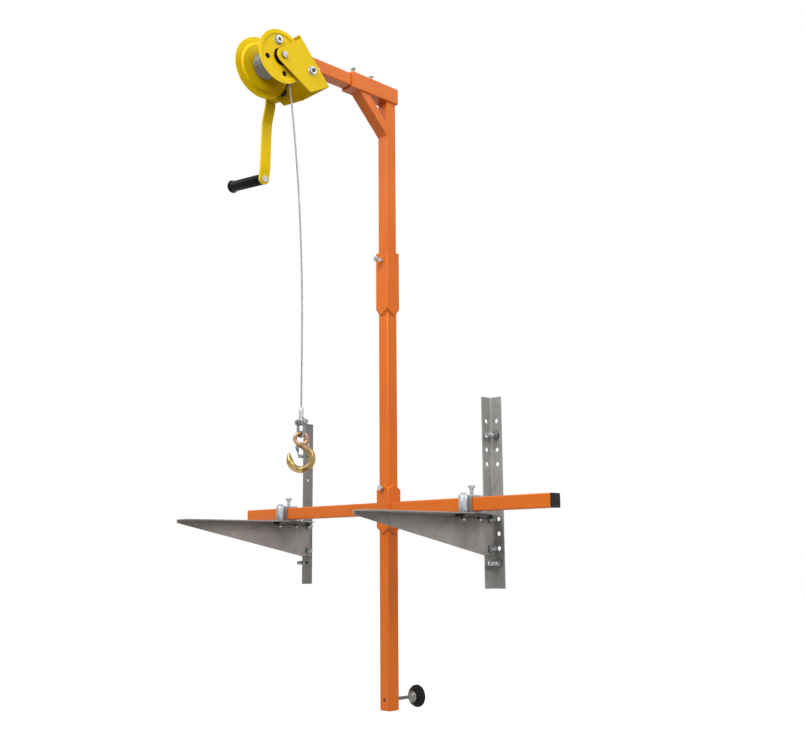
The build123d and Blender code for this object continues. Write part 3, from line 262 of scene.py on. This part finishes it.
# Moulded black plastic and rubber: fine grain, greyed edges, dull dust
def moulding(name, deep, pale, dust, rough, grain, relief, gloss):
    net = Net(name)
    colour = net.blend(net.span(net.noise(80.0, 4.0), 0.3, 0.7), deep, pale)
    scuffs = net.span(net.noise(120.0, 3.0), 0.35, 0.65, 0.1, 0.5)
    colour = net.blend(net.times(net.edges(0.0012), scuffs), colour, dust)
    sheen = net.span(net.noise(50.0, 4.0), 0.3, 0.7, rough - 0.06, rough + 0.08)
    normal = net.bump(net.noise(grain, 2.0, 0.6), relief, 0.00025)
    net.set(Specular_IOR_Level=gloss)
    return net.finish(colour, sheen, normal)


# Laid wire: bright strands, painted shade between them and where the rope lies in hollows, single wires
# raised along each strand
def laid_wire(name, deep, pale, depth):
    strand_gap_shade, rope_shade = (0.06, 0.058, 0.055), (0.05, 0.047, 0.042)
    net = Net(name)
    wires = net.add("TexWave", wave_type="BANDS", bands_direction="Y", wave_profile="SIN")
    wires.inputs["Scale"].default_value = 4.6
    wires.inputs["Distortion"].default_value = 0.4
    net.join(net.add("UVMap").outputs[0], wires.inputs["Vector"])
    ridge = wires.outputs["Fac"]
    colour = net.blend(net.span(net.noise(260.0, 3.0), 0.3, 0.7), deep, pale)
    # Painted shade in the grooves between the strands
    colour = net.blend(net.span(ridge, 0.35, 0.0, 0.0, 0.45), colour, strand_gap_shade)
    # Painted shade where the rope lies in hollows and against its neighbours
    rope_shade_mask = net.times(net.hollows(depth), net.span(net.noise(90.0, 3.0), 0.3, 0.7, 0.4, 0.95))
    colour = net.blend(rope_shade_mask, colour, rope_shade)
    gloss = net.span(net.noise(400.0, 2.0), 0.3, 0.7, 0.30, 0.46)
    normal = net.bump(ridge, 0.5, 0.00012)
    net.set(Metallic=0.9)
    return net.finish(colour, gloss, normal)


# Yellow passivated hook: gold with pinkish and olive drift, rosier at its eye, brown where handled, painted
# shade in its hollows and a painted highlight along its edges
def passivated(name):
    olive, gold = (0.25, 0.165, 0.045), (0.46, 0.34, 0.12)
    pink, rose = (0.46, 0.28, 0.185), (0.47, 0.27, 0.19)
    brown, corner_shade, edge_highlight = (0.055, 0.028, 0.011), (0.05, 0.026, 0.010), (0.62, 0.48, 0.20)
    eye_low, eye_high = 0.092, 0.114
    net = Net(name)
    tint = net.blend(net.span(net.noise(32.0, 3.0, 0.6), 0.35, 0.65), olive, gold)
    tint = net.blend(net.span(net.noise(38.0, 2.0), 0.50, 0.66, 0.0, 0.65), tint, pink)
    level = net.add("SeparateXYZ")
    net.join(net.place, level.inputs[0])
    blush = net.span(net.noise(60.0, 3.0), 0.3, 0.6, 0.35, 0.9)
    tint = net.blend(net.times(net.span(level.outputs["Z"], eye_low, eye_high), blush), tint, rose)
    stain = net.span(net.noise(24.0, 5.0, 0.65), 0.48, 0.64, 0.0, 0.8)
    tint = net.blend(stain, tint, brown)
    # Painted shade in hollows
    tint = net.blend(net.times(net.hollows(0.02), 0.7), tint, corner_shade)
    # Painted highlight along edges
    tint = net.blend(net.times(net.edges(0.0012), 0.4), tint, edge_highlight)
    gloss = net.span(net.noise(120.0, 4.0), 0.3, 0.7, 0.20, 0.36)
    normal = net.bump(net.noise(110.0, 4.0, 0.6), 0.14, 0.0006)
    normal = net.bump(net.noise(700.0, 2.0), 0.08, 0.0002, normal)
    net.set(Metallic=0.85)
    return net.finish(tint, gloss, normal)


# Finishes by the solids' own material slots
look = {
    "orange_paint": paint(
        "orange_powder_coat",
        deep=(0.69, 0.134, 0.002), pale=(0.77, 0.168, 0.006),
        grime_and_shade=(0.24, 0.042, 0.003), mottle_and_edge_light=(0.84, 0.26, 0.07),
        rough=0.38, grain=520.0, peel=0.22, edge_light_and_wear=0.16, gloss=0.34,
    ),
    "yellow_paint": paint(
        "yellow_gloss",
        deep=(0.78, 0.51, 0.0015), pale=(0.86, 0.61, 0.004),
        grime_and_shade=(0.22, 0.115, 0.006), mottle_and_edge_light=(0.90, 0.74, 0.16),
        rough=0.30, grain=640.0, peel=0.10, edge_light_and_wear=0.4, gloss=0.09,
    ),
    "bracket_grey": bracket_paint("bracket_grey", (1.0, 1.0, 1.0)),
    "galvanised": metal(
        "galvanised_zinc", deep=(0.30, 0.325, 0.345), pale=(0.58, 0.61, 0.635), corner_shade=(0.17, 0.18, 0.185),
        rough=0.42, spangle=320.0, dents=0.2,
    ),
    "zinc_steel": metal(
        "zinc_plate", deep=(0.30, 0.305, 0.31), pale=(0.60, 0.60, 0.595), corner_shade=(0.08, 0.077, 0.072),
        rough=0.30, lines=(1.0, 1.0, 0.05),
    ),
    "wire_rope": laid_wire(
        "laid_wire", deep=(0.24, 0.24, 0.238), pale=(0.46, 0.46, 0.455), depth=0.003,
    ),
    "dark_steel": metal(
        "oiled_steel", deep=(0.030, 0.030, 0.032), pale=(0.09, 0.09, 0.092), corner_shade=(0.008, 0.008, 0.007),
        rough=0.34, lines=(0.08, 1.0, 1.0),
    ),
    "hook_gold": passivated("yellow_passivate"),
    "ferrule_alloy": metal(
        "pressed_alloy", deep=(0.36, 0.365, 0.37), pale=(0.60, 0.605, 0.61), corner_shade=(0.10, 0.10, 0.095),
        rough=0.36, lines=(1.0, 1.0, 0.06),
    ),
    "black_plastic": moulding(
        "moulded_plastic", deep=(0.003, 0.003, 0.0032), pale=(0.007, 0.007, 0.0073), dust=(0.03, 0.03, 0.03),
        rough=0.34, grain=900.0, relief=0.35, gloss=0.06,
    ),
    "black_rubber": moulding(
        "moulded_rubber", deep=(0.005, 0.005, 0.005), pale=(0.012, 0.012, 0.0118), dust=(0.04, 0.039, 0.038),
        rough=0.50, grain=420.0, relief=0.45, gloss=0.09,
    ),
}

# Some pieces are duller, bluer, paler or darker than the rest of their kind; the clamp plates, uprights and
# arms take darker and lighter copies as painted shade and painted light
own_look = {
    "foot_rod": metal(
        "worn_foot_steel", deep=(0.075, 0.069, 0.062), pale=(0.23, 0.22, 0.205), corner_shade=(0.025, 0.022, 0.019),
        rough=0.36, lines=(1.0, 0.05, 1.0),
    ),
    # Clamp plates under the flange: a darker copy of zinc, as painted shade
    "clamp_plates": metal(
        "shaded_zinc", deep=(0.060, 0.059, 0.057), pale=(0.15, 0.148, 0.144), corner_shade=(0.02, 0.019, 0.018),
        rough=0.48, spangle=260.0,
    ),
    "latch": metal(
        "blue_zinc", deep=(0.07, 0.09, 0.11), pale=(0.19, 0.23, 0.27), corner_shade=(0.02, 0.025, 0.03),
        rough=0.32, lines=(1.0, 1.0, 0.05),
    ),
    "wall_anchors": metal(
        "weathered_zinc", deep=(0.14, 0.155, 0.15), pale=(0.46, 0.49, 0.475), corner_shade=(0.05, 0.05, 0.044),
        rough=0.36, spangle=280.0, dents=0.12,
    ),
    "shackle": metal(
        "grey_zinc", deep=(0.13, 0.14, 0.15), pale=(0.40, 0.42, 0.44), corner_shade=(0.03, 0.032, 0.035),
        rough=0.26, lines=(1.0, 1.0, 0.05),
    ),
    "bar_cap": moulding(
        "end_cap", deep=(0.010, 0.010, 0.0105), pale=(0.020, 0.020, 0.0205), dust=(0.08, 0.08, 0.08),
        rough=0.42, grain=900.0, relief=0.3, gloss=0.15,
    ),
    "rope_coil": laid_wire(
        "wound_wire", deep=(0.16, 0.155, 0.14), pale=(0.31, 0.30, 0.27), depth=0.006,
    ),
    # Uprights and arms: lighter and darker copies of the bracket paint, as painted light and painted shade
    "upright_right": bracket_paint("lit_bracket_paint", (1.14, 1.16, 1.17)),
    "upright_left": bracket_paint("shaded_bracket", (0.76, 0.76, 0.76)),
    "arm_right": bracket_paint("lit_arm_paint", (1.38, 1.30, 1.27)),
}
own_look["arm_left"] = own_look["arm_right"]
own_look["arm_bolts"] = own_look["wall_anchors"]
for name in ("shackle_pin", "latch_pin", "drum_axle"):
    own_look[name] = own_look["shackle"]

# Every solid takes its finish and gets its sharp edges broken, by a width in millimetres
usual_edge = 0.5
own_edge = {
    "drum_gear": 0.15,
    "crank_shaft": 0.15,
    "latch": 0.25,
    "bar_sleeve": 0.15,
    "coupling_sleeve": 0.15,
    "bar_cap": 0.0,
    "hook": 0.0,
}
for name, solid in nodes.items():
    for place, slot in enumerate(solid.material_slots):
        base = slot.material.name.split(".")[0]
        solid.data.materials[place] = own_look.get(name) or look[base]
    width = own_edge.get(name, usual_edge)
    if width:
        join = solid.modifiers.new("join", "WELD")
        join.merge_threshold = 0.00001
        edge = solid.modifiers.new("edge", "BEVEL")
        edge.width = width * MM
        edge.segments = 2
        edge.limit_method = "ANGLE"
        edge.angle_limit = math.radians(38)
        edge.harden_normals = True


# Mesh pieces
def piece(name, points, faces, body, slot, uv=None, finish=None):
    mesh = bpy.data.meshes.new(name)
    mesh.from_pydata(points, [], faces)
    mesh.polygons.foreach_set("use_smooth", [True] * len(faces))
    if uv:
        layer = mesh.uv_layers.new(name="along")
        for loop in mesh.loops:
            layer.data[loop.index].uv = uv[loop.vertex_index]
    mesh.materials.append(finish or look[slot])
    made = bpy.data.objects.new(name, mesh)
    scene.collection.objects.link(made)
    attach(made, body)
    return made


def bridge(rows, ring, base=0):
    """Faces between rings of points that follow each other in a list, from a first point on."""
    faces = []
    for i in range(rows - 1):
        for k in range(ring):
            a, b = base + i * ring + k, base + i * ring + (k + 1) % ring
            faces.append((a, b, b + ring, a + ring))
    return faces


def around(side, other, angle):
    """A direction at an angle between two that are square to each other."""
    return side * math.cos(angle) + other * math.sin(angle)


def travel(line):
    """At each point of a line: its distance from the start and two untwisted directions square to it."""
    steps = []
    reach = 0.0
    side = None
    for index, here in enumerate(line):
        before = line[max(index - 1, 0)]
        after = line[min(index + 1, len(line) - 1)]
        along = (after - before).normalized()
        if side is None:
            side = along.orthogonal().normalized()
        side = (side - along * side.dot(along)).normalized()
        if index:
            reach += (here - before).length
        steps.append((reach, side.copy(), along.cross(side)))
    return steps


strands = 6


def strand_radius(angle, radius):
    """The outline of strands lying round a middle, at an angle round it."""
    sector = 2 * math.pi / strands
    off = (angle + sector / 2) % sector - sector / 2
    middle = radius * 2 / 3
    rest = (radius / 3) ** 2 - (middle * math.sin(off)) ** 2
    return middle * math.cos(off) + math.sqrt(max(rest, 0.0))


def laid_rope(name, line, radius, lay, body, ring, finish=None):
    """A six-strand rope along a line, its strands twisted once in each lay."""
    points, uv = [], []
    for here, (reach, side, other) in zip(line, travel(line)):
        for k in range(ring):
            angle = 2 * math.pi * k / ring
            turn = angle + 2 * math.pi * reach / lay
            points.append(here + around(side, other, turn) * strand_radius(angle, radius))
            uv.append((reach / lay, strands * k / ring))
    faces = bridge(len(line), ring)
    last = (len(line) - 1) * ring
    faces.append(tuple(range(ring - 1, -1, -1)))
    faces.append(tuple(last + k for k in range(ring)))
    return piece(name, points, faces, body, "wire_rope", uv, finish)


def spline_points(points, resolution):
    """The smooth line of a spline that has these control points."""
    curve = bpy.data.curves.new("route", "CURVE")
    curve.dimensions = "3D"
    curve.resolution_u = resolution
    spline = curve.splines.new("NURBS")
    spline.points.add(len(points) - 1)
    for spot, point in zip(spline.points, points):
        spot.co = (*point, 1)
    spline.order_u = 3
    spline.use_endpoint_u = True
    holder = bpy.data.objects.new("route", curve)
    mesh = bpy.data.meshes.new_from_object(holder)
    line = [corner.co.copy() for corner in mesh.vertices]
    bpy.data.meshes.remove(mesh)
    bpy.data.objects.remove(holder)
    bpy.data.curves.remove(curve)
    return line


# Hanging rope: the route's points, from the drum to the ferrule
rope_x = 108.9
rope_lay = 26.0 * MM
rope_start = Vector((rope_x, -471.117, 1081.59)) * MM
rope_route = [
    (-464.01, 1037.7),
    (-451.58, 950.0),
    (-440.93, 862.3),
    (-432.05, 774.6),
    (-424.95, 686.9),
    (-419.63, 599.2),
    (-416.08, 511.5),
    (-414.30, 423.8),
    (-414.30, 336.1),
    (-414.30, 224.0),
    (-414.30, 200.0),
]
hang = Vector((rope_x, *rope_route[-1])) * MM
rope_line = spline_points([rope_start] + [Vector((rope_x, y, z)) * MM for y, z in rope_route], 64)
rope_run = laid_rope("rope_run", rope_line, 2.3 * MM, rope_lay, "boom", 36)
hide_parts("rope_hanging")
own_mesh(rope_run)


# Rope on the drum: a full inner layer, and the outer layer that the hanging rope comes from
def coil(radius, first_x, last_x, turns, first_angle, per_turn):
    """Turns round the drum's axle from one place along it to another."""
    axle = Vector((mast_x, axle_y, axle_z)) * MM
    line = []
    count = int(turns * per_turn)
    for k in range(count + 1):
        share = k / count
        angle = math.radians(first_angle) + 2 * math.pi * turns * share
        x = first_x + (last_x - first_x) * share
        line.append(axle + Vector((x, radius * math.cos(angle), radius * math.sin(angle))) * MM)
    return line


outer_turns = coil(radius=32.0, first_x=13.4, last_x=-43.0, turns=12, first_angle=9.2, per_turn=120)
inner_turns = coil(radius=27.85, first_x=-44.0, last_x=26.4, turns=17, first_angle=40.0, per_turn=72)
wound = own_look["rope_coil"]
rope_coil = laid_rope("rope_coil", [rope_start] + outer_turns, 2.0 * MM, rope_lay, "drum", 30, wound)
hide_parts("rope_winding")
rope_under = laid_rope("rope_under", inner_turns, 1.85 * MM, rope_lay, "drum", 24, wound)
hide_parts("rope_layers")

# Eye at the rope's end, round the shackle's pin: its route across and below the hanging rope's end
eye_turn = math.radians(84.0)
eye_lay = 24.0 * MM
eye_route = [
    (2.5, -18.0), (4.0, -24.0), (6.8, -31.8), (6.8, -37.8), (2.8, -41.8),
    (-2.8, -41.8), (-6.8, -37.8), (-6.8, -31.8), (-4.0, -24.0), (-2.5, -18.0),
]
eye_line = spline_points(
    [hang + Vector((math.cos(eye_turn) * x, math.sin(eye_turn) * x, z)) * MM for x, z in eye_route], 12
)
rope_loop = laid_rope("rope_loop", eye_line, 2.2 * MM, eye_lay, "hook_line", 36)
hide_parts("rope_eye")


# Screw threads: a helical ridge that runs out at both ends, standing on the plain shank
def thread(name, runs, size, body, slot, finish=None):
    radius, pitch = size
    ring, rows_per_turn = 24, 8
    lift, height, run_out = 0.02, 0.42 * pitch, 1.5 * pitch
    points, faces = [], []
    for start, way, length in runs:
        start, way = Vector(start), Vector(way).normalized()
        side = way.orthogonal().normalized()
        other = way.cross(side)
        rows = int(length / pitch * rows_per_turn)
        faces += bridge(rows + 1, ring, len(points))
        for i in range(rows + 1):
            reach = length * i / rows
            fade = min(1.0, reach / run_out, (length - reach) / run_out)
            for k in range(ring):
                phase = (reach / pitch - k / ring) % 1.0
                crest = 1 - abs(2 * phase - 1)
                ridge = radius + lift + height * fade * min(max(crest * 1.25 - 0.1, 0.0), 0.9)
                spot = start + way * reach + around(side, other, 2 * math.pi * k / ring) * ridge
                points.append(spot * MM)
    piece(name, points, faces, body, slot, finish=finish)


# Thread sizes as radius and pitch
m8, m10 = (4.0, 1.25), (5.0, 1.5)
weathered = own_look["wall_anchors"]

# Threads of the wall anchors and of the arms' bolts
anchor_x, anchor_y, anchor_rows, anchor_run = 376.5, -12.8, (140.0, -176.0), 24.6
anchor_runs = [((x, anchor_y, z), from_wall, anchor_run) for x in (anchor_x, -anchor_x) for z in anchor_rows]
thread("anchor_threads", anchor_runs, m10, "brackets", "galvanised", weathered)
arm_bolt_x, arm_bolt_y, arm_bolt_rows, arm_bolt_run = 370.2, -20.0, (-68.0, -140.0), 9.4
arm_bolt_runs = [
    ((arm_bolt_x + step, arm_bolt_y, z), rightward, arm_bolt_run)
    for step in (0.0, arm_step)
    for z in arm_bolt_rows
]
thread("arm_bolt_threads", arm_bolt_runs, m10, "brackets", "galvanised", weathered)

# Threads of the clamp screws
clamp_x, clamp_top, clamp_run = 387.5, -14.2, 9.8
for hand, step in (("right", 0.0), ("left", arm_step)):
    runs = [((clamp_x + step, mast_y, clamp_top), upward, clamp_run)]
    thread("clamp_threads_" + hand, runs, m8, "bar_clamp_" + hand, "galvanised")

# Threads of the lock screws on the sleeves and on the boom's socket
sleeve_face, socket_top = -134.7, 1130.2
short_run, tall_run = 5.6, 17.6
lock_screws = [
    ("sleeve_screw_thread", (mast_x, sleeve_face, 17.5), from_wall, short_run, "bar_lock"),
    ("coupling_screw_thread", (mast_x, sleeve_face, 630.5), from_wall, tall_run, "mast_lock"),
    ("socket_thread_front", (mast_x, -237.0, socket_top), upward, tall_run, "boom_lock_front"),
    ("socket_thread_rear", (mast_x, -171.0, socket_top), upward, tall_run, "boom_lock_rear"),
]
for name, start, way, length, body in lock_screws:
    thread(name, [(start, way, length)], m8, body, "zinc_steel")


# Wall foot's spindle: a slotted end, a thread no wider than its hole and a flare that backs the rubber pad
def foot_spindle():
    middle = Vector((mast_x, 0, -513.5))
    ring, rows_per_turn = 28, 8
    pitch, crest, root = 1.5, 4.5, 3.85
    thread_start, thread_length = -125.5, 78.5
    flare = [
        (-46.6, 4.5), (-45.2, 4.9), (-43.4, 5.9), (-41.2, 7.5), (-38.8, 9.6),
        (-36.4, 11.9), (-34.2, 13.9), (-33.0, 14.7), (-32.4, 15.0), (-32.05, 15.0),
    ]
    end_radius, end_ys, slot_angle, end_steps = 4.1, (-128.5, -125.4), 12, 12
    rows, points = [], []
    count = int(thread_length / pitch * rows_per_turn)
    for i in range(count + 1):
        y = thread_start + thread_length * i / count
        turns = [((y / pitch - k / ring) % 1.0) for k in range(ring)]
        ridges = [min(max(1.3 - 2.6 * abs(t - 0.5), 0.0), 1.0) for t in turns]
        rows.append((y, [root + (crest - root) * ridge for ridge in ridges]))
    rows += [(y, [radius] * ring) for y, radius in flare]
    for y, radii in rows:
        for k, radius in enumerate(radii):
            angle = 2 * math.pi * k / ring
            points.append((middle + Vector((radius * math.cos(angle), y, radius * math.sin(angle)))) * MM)
    faces = [tuple(reversed(face)) for face in bridge(len(rows), ring)]
    faces.append(tuple(range(ring)))
    faces.append(tuple(range(len(points) - 1, len(points) - 1 - ring, -1)))

    # The two halves of the end, either side of the screwdriver's slot
    spots = end_steps + 1
    sweep = 180 - 2 * slot_angle
    arc = [math.radians(slot_angle + sweep * k / end_steps) for k in range(spots)]
    for half in (1, -1):
        edge = [(end_radius * math.cos(turn), half * end_radius * math.sin(turn)) for turn in arc]
        base = len(points)
        for y in end_ys:
            points += [(middle + Vector((x, y, z))) * MM for x, z in edge]
        loops = [tuple(range(base, base + spots))]
        loops += [(base + k + 1, base + k, base + spots + k, base + spots + k + 1) for k in range(end_steps)]
        loops.append((base, base + end_steps, base + spots + end_steps, base + spots))
        faces += loops if half > 0 else [tuple(reversed(loop)) for loop in loops]
    made = piece("foot_spindle", points, faces, "foot", "zinc_steel", finish=own_look["foot_rod"])
    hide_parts("foot_rod")


foot_spindle()


# Turned fittings: a profile of radius and height carried round a line to the right
def turned(name, spots, profile, body, slot, closed=True):
    ring = 40
    points, faces = [], []
    way = Vector(rightward)
    side = way.orthogonal().normalized()
    other = way.cross(side)
    for spot in spots:
        base = len(points)
        for radius, height in profile:
            for k in range(ring):
                off = around(side, other, 2 * math.pi * k / ring) * radius
                points.append((Vector(spot) + way * height + off) * MM)
        faces += bridge(len(profile), ring, base)
        if closed:
            faces.append(tuple(base + (len(profile) - 1) * ring + k for k in range(ring)))
    piece(name, points, faces, body, slot)


# Washers and bolt ends on the near cheek and the near flange
washer = [(12.0, 0.0), (12.3, 0.3), (12.3, 1.1), (11.9, 1.5), (6.0, 1.6)]
tie_end = [(5.2, -0.4), (5.2, 1.2), (4.9, 1.7), (4.2, 2.2), (3.2, 2.4), (1.6, 2.5)]
keeper_end = [(5.2, -0.4), (5.2, 0.3), (4.9, 0.6), (4.2, 0.8), (3.2, 0.9), (1.6, 0.95)]
tie_place, keeper_place = (-414.444, 1067.622), (-514.474, 1121.959)
cheek_face, tie_nut_face = 138.5, 146.3
flange_face, keeper_nut_face = 126.5, 134.3
turned("winch_washers", [(cheek_face, *tie_place)], washer, "boom", "zinc_steel")
turned("keeper_washer", [(flange_face, *keeper_place)], washer, "drum", "zinc_steel")
turned("tie_bolt_end", [(tie_nut_face, *tie_place)], tie_end, "boom", "dark_steel")
turned("keeper_bolt_end", [(keeper_nut_face, *keeper_place)], keeper_end, "drum", "dark_steel")

# Plate behind the near flange: the bottoms of its free holes are black in the photograph
# Painted shade: the plate shuts out light behind the free holes
backing = [(30.2, 0.0), (30.2, -1.5), (52.0, -1.5), (52.6, -1.0), (52.6, -0.1), (30.2, -0.05)]
backing_face, shade_disc_face = 123.9, 124.0
turned("flange_backing", [(backing_face, axle_y, axle_z)], backing, "drum", "yellow_paint", closed=False)
# Black discs in the bottoms of the free holes: painted shade
hole_shade_disc = [(7.12, 0.0), (7.0, 0.3), (4.0, 0.2), (0.2, 0.2)]
hole_turns = [math.radians(angle) for angle in (165, 255, 345)]
hole_spots = [
    (shade_disc_face, axle_y - hole_circle * math.cos(turn), axle_z + hole_circle * math.sin(turn))
    for turn in hole_turns
]
turned("hole_shade_discs", hole_spots, hole_shade_disc, "drum", "black_plastic")


# Weld beads: rippled runs in the corners between tubes, painted over
def weld(name, runs, radius, body, seed):
    chance = random.Random(seed)
    ring, spacing = 10, 0.7
    ripple_height, ripple_length, uneven = 0.13, 2.6, 0.05
    points, faces = [], []
    for corners in runs:
        line = []
        for a, b in zip(corners, corners[1:]):
            a, b = Vector(a), Vector(b)
            count = max(2, int((b - a).length / spacing))
            line += [a.lerp(b, k / count) for k in range(count)]
        line.append(Vector(corners[-1]))
        faces += bridge(len(line), ring, len(points))
        for here, (reach, side, other) in zip(line, travel(line)):
            ripple = 1 + ripple_height * math.sin(reach * 2 * math.pi / ripple_length)
            ripple += chance.uniform(-uneven, uneven)
            for k in range(ring):
                points.append((here + around(side, other, 2 * math.pi * k / ring) * radius * ripple) * MM)
    piece(name, points, faces, body, "orange_paint")


def square(middle, across, along, half_a, half_b, corner=2.6):
    """A closed loop round a tube with clipped corners, in two given directions."""
    middle, across, along = Vector(middle), Vector(across), Vector(along)
    spots = []
    for sa, sb, swapped in ((1, 1, False), (-1, 1, True), (-1, -1, False), (1, -1, True)):
        pair = [(half_a, half_b - corner), (half_a - corner, half_b)]
        if swapped:
            pair.reverse()
        spots += [middle + across * (sa * a) + along * (sb * b) for a, b in pair]
    return spots + [spots[0]]


# Beads lie just outside the tubes' faces
bar_bead, tube_bead, brace_bead = 16.6, 17.6, (17.4, 17.7)
sleeve_side = 22.7
bar_loops = [
    square((mast_x + side * sleeve_side, mast_y, bar_z), to_wall, upward, bar_bead, bar_bead)
    for side in (1, -1)
]
weld("bar_welds", bar_loops, 1.7, "bar", seed=2)
socket_loop = square((mast_x, mast_y, socket_low_z), rightward, to_wall, tube_bead, tube_bead)
weld("socket_weld", [socket_loop], 1.7, "upper_mast", seed=3)
brace_loops = [
    square((mast_x, -129.7, 1004.7), rightward, upward, *brace_bead, 0.6),
    square((mast_x, -209.8, socket_low_z), rightward, to_wall, *brace_bead, 0.6),
]
weld("brace_welds", brace_loops, 1.5, "upper_mast", seed=4)

# The coupling's bead follows its pointed lower edge round the four faces of the mast
coupling_low, mast_bead = 480.0, 17.7
point_steps = ((-17.3, 8.9), (-5.0, -0.2), (5.0, -0.2), (17.3, 8.9))
zigzag = []
for ux, uy in ((1, 0), (0, 1), (-1, 0), (0, -1)):
    for step, rise in point_steps:
        x = mast_x + ux * mast_bead - uy * step
        y = mast_y + uy * mast_bead + ux * step
        zigzag.append((x, y, coupling_low + rise))
weld("coupling_weld", [zigzag + [zigzag[0]]], 1.5, "lower_mast", seed=5)

# The boom's bead lies on the winch's slanted seat plate
seat_plate = 5.0
seat_across = Vector((0, -math.sin(winch_tilt), math.cos(winch_tilt)))
seat_out = Vector((0, -math.cos(winch_tilt), -math.sin(winch_tilt)))
seat = Vector((mast_x, -412.0, 1107.5)) - seat_out * seat_plate
seat_loop = square(seat, rightward, seat_across, tube_bead, tube_bead / math.cos(winch_tilt))
weld("boom_weld", [seat_loop], 1.8, "boom", seed=6)


# Light: a soft white room with four large lamps
def seen_rays(tree):
    """1 for what the camera sees directly, in a reflection or through a clear surface."""
    path = tree.nodes.new("ShaderNodeLightPath")
    first = tree.nodes.new("ShaderNodeMath")
    first.operation = "MAXIMUM"
    second = tree.nodes.new("ShaderNodeMath")
    second.operation = "MAXIMUM"
    tree.links.new(path.outputs["Is Camera Ray"], first.inputs[0])
    tree.links.new(path.outputs["Is Glossy Ray"], first.inputs[1])
    tree.links.new(first.outputs[0], second.inputs[0])
    tree.links.new(path.outputs["Is Transmission Ray"], second.inputs[1])
    return second.outputs[0]


def make_world():
    world = bpy.data.worlds.new("studio")
    scene.world = world
    world.use_nodes = True
    tree = world.node_tree
    tree.nodes.clear()
    room = tree.nodes.new("ShaderNodeBackground")
    room.inputs["Color"].default_value = (0.96, 0.97, 1.0, 1)
    room.inputs["Strength"].default_value = 0.5
    white = tree.nodes.new("ShaderNodeBackground")
    white.inputs["Color"].default_value = (1, 1, 1, 1)
    white.inputs["Strength"].default_value = 1.0
    mix = tree.nodes.new("ShaderNodeMixShader")
    output = tree.nodes.new("ShaderNodeOutputWorld")
    tree.links.new(seen_rays(tree), mix.inputs[0])
    tree.links.new(room.outputs[0], mix.inputs[1])
    tree.links.new(white.outputs[0], mix.inputs[2])
    tree.links.new(mix.outputs[0], output.inputs["Surface"])


def area_lamp(name, place, aim, size, power):
    data = bpy.data.lights.new(name, "AREA")
    data.shape = "RECTANGLE"
    data.size = size
    data.size_y = size
    data.energy = power
    lamp = bpy.data.objects.new(name, data)
    scene.collection.objects.link(lamp)
    lamp.location = place
    lamp.rotation_mode = "QUATERNION"
    lamp.rotation_quaternion = (Vector(aim) - Vector(place)).to_track_quat("-Z", "Y")


make_world()
area_lamp("key", place=(0.7, -2.8, 2.5), aim=(0.1, -0.2, 0.4), size=2.2, power=97)
area_lamp("fill", place=(3.2, -0.2, 1.8), aim=(0.1, -0.2, 0.3), size=1.6, power=39)
area_lamp("left_sheen", place=(-2.1, -2.2, 2.8), aim=(0.1, -0.1, 1.0), size=1.4, power=12)
area_lamp("right_sheen", place=(2.6, 1.8, 3.2), aim=(0.1, -0.3, 1.1), size=1.5, power=14)


# Pale floor: white where it is lit, greyer in the object's shadow
def make_floor():
    half, z = 20.0, -1.3
    corners = [(-half, -half, z), (half, -half, z), (half, half, z), (-half, half, z)]
    mesh = bpy.data.meshes.new("floor")
    mesh.from_pydata(corners, [], [(0, 1, 2, 3)])
    floor = bpy.data.objects.new("floor", mesh)
    scene.collection.objects.link(floor)
    net = Net("pale_floor")
    net.set(Roughness=0.9)
    tone = net.blend(net.noise(3.0, 3.0), (0.79, 0.79, 0.79), (0.81, 0.81, 0.81))
    net.join(tone, net.shader.inputs["Base Color"])
    glow = net.add("Emission")
    glow.inputs["Strength"].default_value = 0.7
    both = net.add("AddShader")
    net.join(net.shader.outputs[0], both.inputs[0])
    net.join(glow.outputs[0], both.inputs[1])
    bounce = net.add("BsdfDiffuse")
    bounce.inputs["Color"].default_value = (0.30, 0.30, 0.30, 1)
    pick = net.add("MixShader")
    net.join(seen_rays(net.tree), pick.inputs[0])
    net.join(bounce.outputs[0], pick.inputs[1])
    net.join(both.outputs[0], pick.inputs[2])
    net.join(pick.outputs[0], net.output.inputs["Surface"])
    mesh.materials.append(net.material)


make_floor()
scene.view_settings.view_transform = "Standard"
